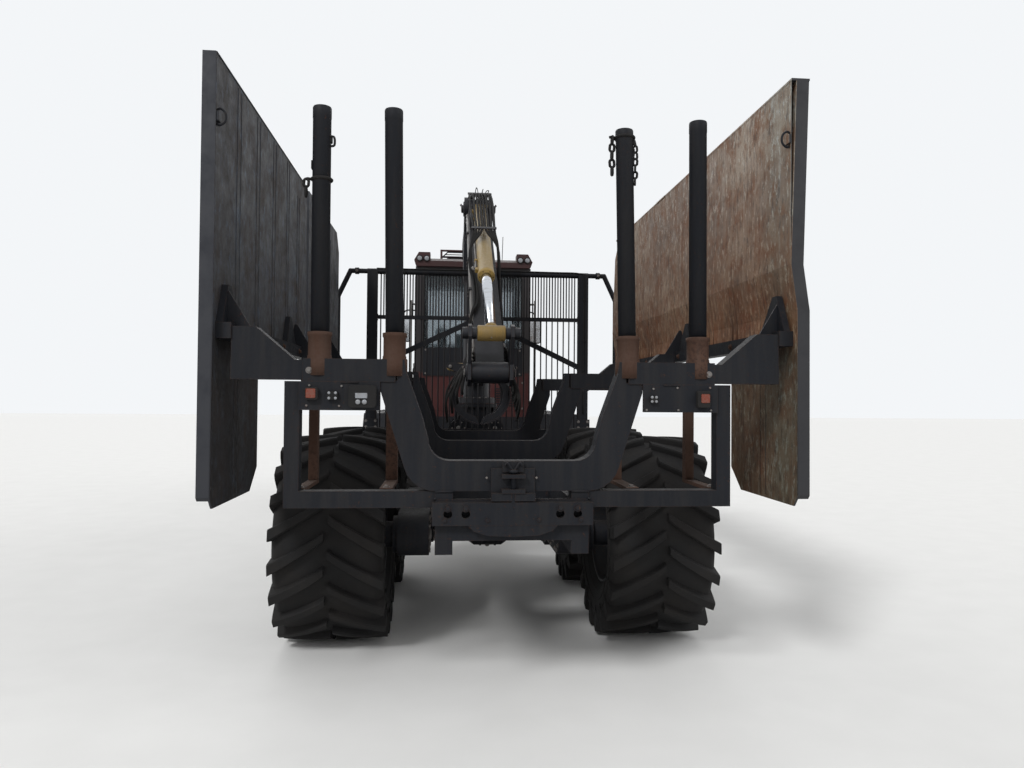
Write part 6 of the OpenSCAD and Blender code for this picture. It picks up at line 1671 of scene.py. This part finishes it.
def engine_unit():
    p = Piece("engine_unit")
    y0, y1 = Y(7.70), Y(8.85)
    # Block with ribs, head, cover and sump inside the plain block's size
    p.plate("engine", (-0.22, y0 + 0.10, 1.34), (0.22, y0 + 0.93, 1.74), 0.016)
    p.plate("engine", (-0.17, y0 + 0.12, 1.152), (0.17, y0 + 0.90, 1.345), 0.03)
    p.plate("engine", (-0.16, y0 + 0.12, 1.74), (0.19, y0 + 0.91, 1.90), 0.010)
    p.plate("bare", (-0.12, y0 + 0.14, 1.90), (0.15, y0 + 0.89, 2.00), 0.035)
    for k in range(7):
        y = y0 + 0.16 + 0.115 * k
        for x in (-0.105, 0.135):
            p.stud((x, y, 1.900), 0.011)
        for side in (-1, 1):
            p.plate("engine", (side * 0.225 - 0.010, y - 0.010, 1.36),
                (side * 0.225 + 0.010, y + 0.010, 1.72), 0.004)
    for k in range(6):
        y = y0 + 0.19 + 0.125 * k
        # Injector pipes on the left, manifold branches on the right
        p.pipe("bare", [(-0.10, y, 1.93), (-0.17, y, 1.94), (-0.23, y + 0.02, 1.84),
            (-0.245, y0 + 0.45 + 0.02 * k, 1.70), (-0.25, y0 + 0.45 + 0.02 * k, 1.62)], 0.005, 6, 4)
        p.pipe("rust", [(0.18, y, 1.83), (0.235, y, 1.83), (0.262, y + (0.03 if k < 3 else -0.03), 1.81)],
            0.026, 10, 4)
    p.pipe("rust", [(0.268, y0 + 0.17, 1.81), (0.270, y0 + 0.50, 1.81), (0.268, y0 + 0.84, 1.81)],
        0.036, 14, 3)
    # Turbo, its pipes and the exhaust to the stack
    turbo = frame_at((0.262, y0 + 0.48, 1.945), (0, 1, 0), (1, 0, 0))
    p.lathe("rust", [(0, -0.10), (0.03, -0.10), (0.064, -0.075), (0.068, -0.045), (0.045, -0.02),
        (0.035, 0.0), (0.036, 0.02), (0, 0.02)], 28, turbo)
    p.lathe("bare", [(0, 0.015), (0.036, 0.018), (0.060, 0.035), (0.066, 0.06), (0.058, 0.085), (0.035, 0.10),
        (0.034, 0.13), (0, 0.13)], 28, turbo)
    p.pipe("hose", [(0.262, y0 + 0.60, 1.945), (0.25, y0 + 0.72, 1.96), (0.10, y0 + 0.93, 2.00),
        (-0.05, y0 + 0.99, 1.98), (-0.20, y0 + 1.00, 1.93)], 0.036, 14, 5)
    p.pipe("hose", [(-0.18, y0 + 0.25, 1.80), (-0.26, y0 + 0.20, 1.86), (-0.28, y0 + 0.10, 1.96),
        (-0.28, y0 + 0.03, 2.02)], 0.045, 14, 5)
    p.pipe("rust", [(0.262, y0 + 0.37, 1.945), (0.265, y0 + 0.28, 1.94), (0.29, y0 + 0.10, 1.86),
        (0.30, y0 + 0.01, 1.70)], 0.034, 12, 5)
    # Filters, starter, alternator, pulleys with their belt
    for y in (y0 + 0.34, y0 + 0.46):
        p.lathe("white", [(0, 0), (0.044, 0.004), (0.046, 0.02), (0.046, 0.14), (0.050, 0.145), (0.050, 0.16),
            (0, 0.16)], 24, move((-0.275, y, 1.42)))
    p.lathe("bare", [(0, 0), (0.045, 0), (0.048, 0.02), (0.048, 0.20), (0.030, 0.22), (0, 0.22)],
        24, toward((0, 1, 0), (0.275, y0 + 0.16, 1.42)))
    p.lathe("bare", [(0, 0), (0.060, 0), (0.066, 0.02), (0.066, 0.12), (0.045, 0.14), (0, 0.14)],
        28, toward((0, 1, 0), (-0.255, y0 + 0.78, 1.72)))
    pulleys = [((0, 1.42), 0.085), ((0, 1.70), 0.065), ((-0.255, 1.72), 0.034)]
    for (x, z), r in pulleys:
        p.lathe("frame", [(0, 0), (r, 0), (r - 0.008, 0.008), (r - 0.008, 0.016), (r, 0.024),
            (r * 0.5, 0.026), (0, 0.028)], 32, toward((0, 1, 0), (x, y0 + 0.935, z)))
    belt = []
    hull = [((0, 1.42), 0.078, (200, 350)), ((0, 1.70), 0.058, (20, 95)), ((-0.255, 1.72), 0.028, (95, 225))]
    for (x, z), r, (a0, a1) in hull:
        turns = [a0 + (a1 - a0) * k / 6 for k in range(7)]
        belt += [(x + c, y0 + 0.947, z + s) for c, s in arc(r, turns)]
    belt.append(belt[0])
    p.add("hose", tube(belt, 0.007, 6, 1))
    # Fan, shroud and radiator at the front
    hub = toward((0, 1, 0), (0, y0 + 1.005, 1.62))
    for k in range(8):
        p.add("hose", slab((0.04, -0.035, -0.003), (0.215, 0.035, 0.003), 0.002),
              hub @ rotated(math.radians(45 * k), "Z") @ rotated(0.5, "X"))
    p.lathe("frame", knob(0.055, 0.03, 0.03, 0.05), 24, toward((0, 1, 0), (0, y0 + 0.985, 1.62)))
    p.hoop("frame", [(0.228, 0.99), (0.234, 0.99), (0.250, 1.065), (0.244, 1.065)],
        40, frame_at((0, y0, 1.62), (0, 1, 0), (1, 0, 0)))
    p.plate("frame", (-0.325, y1 - 0.085, 1.17), (0.325, y1 - 0.075, 2.045), 0.003)
    p.plate("frame", (-0.328, y1 - 0.075, 1.155), (0.328, y1 - 0.002, 1.215), 0.008)
    p.plate("frame", (-0.328, y1 - 0.075, 1.985), (0.328, y1 - 0.002, 2.048), 0.012)
    for side in (-1, 1):
        p.plate("frame", (side * 0.314 - 0.014, y1 - 0.075, 1.20), (side * 0.314 + 0.014, y1 - 0.004, 2.00),
            0.004)
    for k in range(60):
        x = -0.296 + 0.592 * k / 59
        p.plate("bare", (x - 0.0022, y1 - 0.066, 1.21), (x + 0.0022, y1 - 0.012, 1.99), 0.001)
    p.pipe("hose", [(0.24, y1 - 0.05, 2.02), (0.24, y1 - 0.12, 2.03), (0.12, y1 - 0.22, 2.01),
        (0.04, y1 - 0.27, 1.93), (0.03, y1 - 0.28, 1.86)], 0.024, 12, 5)
    # Flywheel housing and the mounts down to the frame
    p.lathe("engine", [(0, 0), (0.24, 0), (0.262, 0.02), (0.262, 0.09), (0.22, 0.11), (0, 0.11)],
        40, toward((0, 1, 0), (0, y0 + 0.002, 1.48)))
    for side in (-1, 1):
        for y in (y0 + 0.25, y1 - 0.25):
            p.plate("engine", (side * 0.265 - 0.065, y - 0.05, 1.20), (side * 0.265 + 0.060, y + 0.05, 1.235),
                0.006)
            p.lathe("hose", [(0, 1.150), (0.045, 1.150), (0.036, 1.176), (0.045, 1.202), (0, 1.202)],
                20, move((side * 0.275, y, 0)))
            p.plate("engine", (side * 0.20 - 0.02, y - 0.045, 1.20), (side * 0.20 + 0.02, y + 0.045, 1.42),
                0.006)
    p.done("front_frame", ["engine"])


cab_details()
cab_inside()
driver_seat()
door_details()
bonnet_details()
engine_unit()


# Mudguards, steps, guard, middle joint, axles and gate
FENDER_TOP = 1.4545


def fender_details():
    p = Piece("fender_details")
    for side in (-1, 1):
        # Rubber flaps, lips and the bolts along the outer edge
        for s, tilt in ((5.975, 0.06), (8.945, -0.06)):
            low, high = sorted((side * 0.80, side * 1.41))
            p.add("hose", slab((low, -0.004, -0.24), (high, 0.004, 0.02), 0.002),
                move((0, Y(s), 1.245)) @ rotated(tilt, "X"))
            for k in range(5):
                x = low + 0.06 + (high - low - 0.12) * k / 4
                p.screw((x, Y(s) + (-0.005 if s < 7 else 0.005), 1.252), (0, -1 if s < 7 else 1, 0), 0.008)
        p.pipe("frame", path_y((side * 1.42, 5.975, 1.245), (side * 1.42, 6.12, 1.445),
            (side * 1.42, 8.80, 1.445), (side * 1.42, 8.945, 1.245)), 0.009, 8, 1)
        # Raised tread bars on the top
        for k in range(36):
            y = Y(6.22 + 0.072 * k)
            for x in (0.90, 1.04, 1.18, 1.32):
                p.add("frame", slab((-0.024, -0.004, 0), (0.024, 0.004, 0.0025), 0.001),
                      move((side * x, y, FENDER_TOP)) @ rotated(math.radians(45 if k % 2 else -45), "Z"))
        for s in (6.30, 7.00, 8.00, 8.70):
            for x in (0.84, 1.38):
                p.stud((side * x, Y(s), FENDER_TOP), 0.009)
        weld(p, [(side * 0.96, Y(7.455), 1.442), (side * 0.96, Y(7.545), 1.442)], 0.008, "frame")
    # Toothed step treads on the left
    for z in (0.72, 0.90, 1.08):
        for k in range(12):
            y = Y(7.5) - 0.13 + 0.0236 * k
            p.add("bare", prism([(0, 0), (0.014, 0), (0.007, 0.009)], 0, 0.104, 0.001),
                move((-1.439, y, z)) @ Matrix(((0, 0, -1), (1, 0, 0), (0, 1, 0))).to_4x4())
    for s in (7.355, 7.645):
        for z in (0.71, 0.89, 1.07):
            d = -1 if s < 7.5 else 1
            for x in (-1.52, -1.46):
                p.screw((x, Y(s) + (0.005 if d > 0 else -0.005), z), (0, d, 0), 0.008)
    p.done("front_frame")


def guard_details():
    # On the guard's front face
    p = Piece("guard_details")
    face = 4.889
    for side in (-1, 1):
        place = toward((0, 1, 0), (side * 0.690, face + 0.036, 1.160))
        p.hoop("bare", [(0.048, -0.004), (0.062, -0.004), (0.064, 0.006), (0.058, 0.012), (0.048, 0.006)],
            36, place)
        p.lathe("white", [(0, 0.0), (0.051, 0.0), (0.049, 0.006), (0.030, 0.012), (0, 0.014)], 32, place)
        # Bars welded over each headlamp
        for dx in (-0.04, 0.0, 0.04):
            p.pipe("frame", [(side * 0.69 + dx, face + 0.026, 1.085), (side * 0.69 + dx, face + 0.055, 1.10),
                (side * 0.69 + dx, face + 0.055, 1.215), (side * 0.69 + dx, face + 0.026, 1.235)],
                0.005, 6, 2)
        p.bolts([(side * x, face + 0.003, z) for x in (0.18, 0.42, 0.84) for z in (0.76, 1.03)],
            (0, 1, 0), 0.014)
        # Tow eyes
        eye = frame_at((side * 0.30, face + 0.026, 0.84), (1, 0, 0), (0, 1, 0))
        p.hoop("frame", [(0.024, -0.014), (0.048, -0.014), (0.050, 0.0), (0.048, 0.014), (0.024, 0.014)],
            28, eye)
        for z in (0.80, 1.20):
            weld(p, [(side * 0.56, face, z), (side * 0.64, face, z)], 0.005, "frame")
    # Blank plate, folded lip and drain slots
    p.plate("bare", (-0.13, face, 0.985), (0.13, face + 0.006, 1.045), 0.003)
    p.bolts([(-0.115, face + 0.006, 1.015), (0.115, face + 0.006, 1.015)], (0, 1, 0), 0.006)
    p.pipe("frame", [(-0.90, face - 0.004, 1.088), (0.90, face - 0.004, 1.088)], 0.008, 8, 1)
    p.pipe("frame", [(-0.90, face - 0.004, 0.704), (0.90, face - 0.004, 0.704)], 0.008, 8, 1)
    for k in range(9):
        x = -0.40 + 0.10 * k
        p.plate("hose", (x - 0.03, face - 0.001, 0.740), (x + 0.03, face + 0.0025, 0.752), 0.002)
    p.done("front_frame")


def joint_hoses():
    # Hydraulic lines from the valve block over the middle joint into the front frame
    p = Piece("joint_hoses")
    rng = random.Random(21)
    for k in range(8):
        x = -0.112 + 0.032 * k
        bow = x * 1.9 + rng.uniform(-0.02, 0.02)
        top = 1.40 + rng.uniform(-0.03, 0.05)
        p.pipe("hose", path_y((x, 5.345, 1.215 + 0.02 * (k % 2)), (x * 1.1, 5.40, 1.245 + 0.02 * (k % 2)),
            (bow, 5.48, top - 0.05), (bow * 1.05, 5.60, top), (bow, 5.74, top - 0.05), (x * 1.3, 5.86, 1.24),
            (x * 1.3, 5.955, 1.20)), 0.0125, 8, 7)
        for y, d in ((Y(5.35), 1), (Y(5.95), -1)):
            p.nut(0.018, -0.012, 0.022, 0.002, toward((0, d, 0),
                (x if d > 0 else x * 1.3, y, 1.217 + 0.02 * (k % 2) if d > 0 else 1.20)))
    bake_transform(p.done(None))


def joint_details():
    p = Piece("joint_details_rear")
    J = Y(JOINT)
    p.hoop("frame", [(0.0605, 1.150), (0.105, 1.150), (0.103, 1.160), (0.0605, 1.160)], 40, move((0, J, 0)))
    for c, s in circle(0.084, 8):
        p.stud((c, J + s, 1.160), 0.009)
    for side in (-1, 1):
        weld(p, [(side * 0.130, Y(5.30), 1.149), (side * 0.130, Y(5.31), 0.762)], 0.008, "frame")
    # Rear propeller shaft with its joints
    shaft = lambda a, b: frame_at(a, Vector(b) - Vector(a), (1, 0, 0))
    a, b = (0, Y(2.44), 0.700), (0, Y(5.46), 0.665)
    length = (Vector(b) - Vector(a)).length
    p.lathe("frame", [(0, 0), (0.075, 0), (0.075, 0.018), (0.042, 0.035), (0.036, 0.09),
        (0.036, length - 0.13), (0.044, length - 0.12), (0.044, length - 0.06), (0.030, length - 0.05),
        (0.030, length), (0, length)], 28, shaft(a, b))
    for c, s in circle(0.060, 8):
        p.add("bare", bolt(0.008), shaft(a, b) @ move((c, s, 0.018)))
    p.add("bare", pin_bar(0.013, 0.092), move((0, J, 0.665)) @ rotated(math.pi / 2, "Y"), True)
    p.done("rear_frame")
    q = Piece("joint_details_front")
    a, b = (0, Y(5.54), 0.665), (0, Y(7.27), 0.700)
    length = (Vector(b) - Vector(a)).length
    q.lathe("frame", [(0, 0), (0.030, 0), (0.030, 0.05), (0.044, 0.06), (0.044, 0.12), (0.036, 0.13),
        (0.036, length - 0.09), (0.042, length - 0.035), (0.075, length - 0.018), (0.075, length),
        (0, length)], 28, shaft(a, b))
    for side in (-1, 1):
        q.lathe("bare", [(0, 0), (0.019, 0), (0.019, 0.10), (0.030, 0.102), (0.030, 0.114), (0, 0.114)],
            24, move((side * 0.34, Y(5.62), 0.755)))
        q.stud((side * 0.34, Y(5.62), 0.869), 0.012)
    # Battery boxes between the axle and the joint, under the cab
    for side in (-1, 1):
        low, high = sorted((side * 0.40, side * 0.69))
        q.plate("frame", (low, Y(6.02), 1.155), (high, Y(6.62), 1.395), 0.02)
        for s in (6.14, 6.50):
            q.plate("bare", (low - 0.003, Y(s) - 0.016, 1.150), (high + 0.003, Y(s) + 0.016, 1.399), 0.004)
        q.lathe("bare", knob(0.035, 0.016, 0.028, 0.020), 24,
            toward((side, 0, 0), (side * 0.69, Y(6.32), 1.34)))
    q.done("front_frame")


CASE_X = 0.455


def axle_details(axle_at, body, label):
    p = Piece("axle_details_" + label)
    for side in (-1, 1):
        for shift in (-AXLE_SHIFT, AXLE_SHIFT):
            for c, s in circle(0.122, 10):
                p.screw((side * CASE_X, Y(axle_at + shift) + c, WHEEL_Z + s), (-side, 0, 0), 0.011)
            p.lathe("bare", knob(0.045, 0.010, 0.02, 0.018), 20,
                toward((-side, 0, 0), (side * CASE_X, Y(axle_at + shift), WHEEL_Z)))
        # Bolt rows along the case, and the flange at its pivot
        for k in range(9):
            y = Y(axle_at) - 0.50 + 0.125 * k
            if abs(y - Y(axle_at)) > 0.24:
                for z in (0.575, 0.825):
                    p.screw((side * CASE_X, y, z), (-side, 0, 0), 0.009)
        at = frame_at((side * CASE_X, Y(axle_at), WHEEL_Z), (-side, 0, 0), (0, 1, 0))
        p.hoop("frame", [(0.12, -0.001), (0.200, -0.001), (0.200, 0.014), (0.192, 0.020), (0.165, 0.020),
            (0.150, 0.040), (0.12, 0.040)], 48, at)
        for c, s in circle(0.181, 14):
            p.add("bare", bolt(0.010), at @ move((c, s, 0.019)))
    # Ribs and plugs of the middle case
    for x in (-0.06, 0.06):
        p.hoop("frame", [(0.222, x - 0.008), (0.232, x - 0.006), (0.232, x + 0.006), (0.222, x + 0.008)],
            48, frame_at((0, Y(axle_at), WHEEL_Z), (1, 0, 0), (0, 1, 0)))
    p.screw((0, Y(axle_at), 0.476), (0, 0, -1), 0.016)
    p.screw((0, Y(axle_at) - 0.224, 0.68), (0, -1, 0), 0.016)
    inward = 1 if body == "rear_frame" else -1
    for c, s in circle(0.090, 12):
        p.screw((c, Y(axle_at) + inward * 0.205, WHEEL_Z + s), (0, inward, 0), 0.010)
    p.done(body)


def gate_details():
    p = Piece("gate_details")
    g = Y(GATE)
    for side in (-1, 1):
        # Foot plates with bolts
        p.plate("frame", (side * 1.145 - 0.075, g - 0.050, 1.325), (side * 1.145 + 0.075, g - 0.035, 1.44),
            0.004)
        p.bolts([(side * 1.145 + dx, g - 0.050, z) for dx in (-0.05, 0.05) for z in (1.35, 1.415)],
            (0, -1, 0), 0.010)
        # Flat bar along each brace, beads and rings at the corners
        brace = [(side * 0.05, 2.474), (side * 0.05, 2.538), (side * 1.094, 2.042), (side * 1.094, 1.978)]
        p.add("frame", prism(brace if side < 0 else brace[::-1], -g + 0.0205, -g + 0.0275, 0.001), UPRIGHT)
        for z in (2.50, 2.56):
            weld(p, [(side * 1.088, g - 0.022, z), (side * 1.088, g + 0.022, z)], 0.006, "frame")
        p.hoop("frame", band(0.027, 0.036, -0.02, 0.02), 24,
            frame_at((side * 1.31, g, 3.022), (1, 0, 0), (0, 1, 0)))
        p.screw((side * 1.31, g - 0.036, 3.022), (0, -1, 0), 0.010)
    # Cable clipped along the top tube and down the right post
    p.pipe("hose", [(-1.10, g - 0.030, 3.050), (-0.50, g - 0.030, 3.048), (0.10, g - 0.028, 3.050),
        (0.80, g - 0.030, 3.047), (1.10, g - 0.034, 3.040), (1.150, g - 0.042, 2.98),
        (1.152, g - 0.041, 2.60), (1.150, g - 0.041, 2.10), (1.152, g - 0.041, 1.50)], 0.0065, 8, 5)
    for z in (2.75, 2.30, 1.85):
        p.plate("hose", (1.138, g - 0.050, z - 0.008), (1.166, g - 0.034, z + 0.008), 0.002)
    for x in (-0.8, -0.2, 0.45):
        p.hoop("hose", band(0.0302, 0.0335, -0.006, 0.006), 24, frame_at((x, g, 3.022), (1, 0, 0), (0, 1, 0)))
    p.done("rear_frame")


def exhaust_details():
    p = Piece("exhaust_details")
    x, y = 0.73, Y(7.55)
    for z in (1.53, 2.57):
        p.hoop("bare", band(0.0622, 0.0645, z - 0.010, z + 0.010), 36, move((x, y, 0)))
    # Perforated heat shield round the muffler, as rings of slots in a half shell
    for k in range(13):
        z = 1.56 + 0.080 * k
        for i in range(9):
            a = math.radians(-80 + 20 * i)
            p.add("rust", slab((-0.003, -0.009, -0.026), (0.003, 0.009, 0.026), 0.002),
                  move((x + 0.074 * math.cos(a), y + 0.074 * math.sin(a), z)) @ rotated(a, "Z"))
    for z in (1.60, 2.05, 2.50):
        p.plate("bare", (0.655, y - 0.022, z - 0.012), (0.735, y + 0.022, z + 0.012), 0.004)
    p.done("front_frame")


def frame_lines():
    # Hoses clipped along the rear frame with straps
    p = Piece("frame_lines")
    for side in (-1, 1):
        for k in range(3):
            z = 1.06 - 0.032 * k
            p.pipe("hose", path_y((side * 0.408, 0.35, z), (side * 0.408, 1.2, z + 0.004),
                (side * 0.408, 1.95, z), (side * 0.408, 2.6, z + 0.003), (side * 0.408, 3.5, z),
                (side * 0.408, 4.35, z)), 0.010, 8, 3)
        for s in (0.5, 1.2, 1.9, 2.9, 3.6, 4.2):
            p.plate("bare", (min(side * 0.394, side * 0.422), Y(s) - 0.012, 0.975),
                (max(side * 0.394, side * 0.422), Y(s) + 0.012, 1.082), 0.004)
        # Weld beads at the bunks' feet
        for s in BUNKS:
            weld(p, [(side * 0.396, Y(s) - 0.055, 1.152), (side * 0.396, Y(s) + 0.055, 1.152)],
                0.008, "frame")
            weld(p, [(side * 0.304, Y(s) - 0.052, 1.190), (side * 0.396, Y(s) - 0.052, 1.190)],
                0.006, "frame")
    p.done("rear_frame")


fender_details()
guard_details()
joint_hoses()
joint_details()
axle_details(REAR_AXLE, "rear_frame", "rear")
axle_details(FRONT_AXLE, "front_frame", "front")
gate_details()
exhaust_details()
frame_lines()


# Stage: pale floor, soft lamps and a pale background
def add_stage():
    bpy.ops.mesh.primitive_plane_add(size=120, location=(0, 0, -0.001))
    floor = bpy.context.object
    floor.name = "floor"
    t = Tree("pale_floor")
    grain = t.noise(3, 4, 0.5)
    t.set("Base Color", t.mix(grain, (0.72, 0.72, 0.71), (0.78, 0.78, 0.77)))
    t.set("Roughness", 0.9)
    floor.data.materials.append(t.material)
    world = bpy.data.worlds.new("world")
    scene.world = world
    world.use_nodes = True
    tree = world.node_tree
    tree.nodes.clear()
    path = tree.nodes.new("ShaderNodeLightPath")
    light = tree.nodes.new("ShaderNodeBackground")
    light.inputs["Color"].default_value = (1, 1, 1, 1)
    light.inputs["Strength"].default_value = 0.55
    seen = tree.nodes.new("ShaderNodeBackground")
    seen.inputs["Color"].default_value = (0.90, 0.92, 0.94, 1)
    seen.inputs["Strength"].default_value = 1.0
    either = tree.nodes.new("ShaderNodeMath")
    all_three = tree.nodes.new("ShaderNodeMath")
    either.operation = all_three.operation = "MAXIMUM"
    mix = tree.nodes.new("ShaderNodeMixShader")
    out = tree.nodes.new("ShaderNodeOutputWorld")
    # Rays from the camera, mirrors and glass see the backdrop; all others see the soft light
    for source, target in ((path.outputs["Is Camera Ray"], either.inputs[0]),
                           (path.outputs["Is Glossy Ray"], either.inputs[1]),
                           (either.outputs[0], all_three.inputs[0]),
                           (path.outputs["Is Transmission Ray"], all_three.inputs[1]),
                           (all_three.outputs[0], mix.inputs[0]),
                           (light.outputs[0], mix.inputs[1]),
                           (seen.outputs[0], mix.inputs[2]),
                           (mix.outputs[0], out.inputs[0])):
        tree.links.new(source, target)
    for name, energy, angle, turn in (("key", 1.7, 12, (50, 0, -35)), ("fill", 0.7, 40, (60, 0, 60)),
                                      ("back", 0.6, 40, (55, 0, 190))):
        data = bpy.data.lights.new(name, "SUN")
        data.energy = energy
        data.angle = math.radians(angle)
        lamp = bpy.data.objects.new(name, data)
        lamp.rotation_euler = [math.radians(a) for a in turn]
        scene.collection.objects.link(lamp)
    scene.view_settings.view_transform = "Standard"


add_camera()
add_stage()
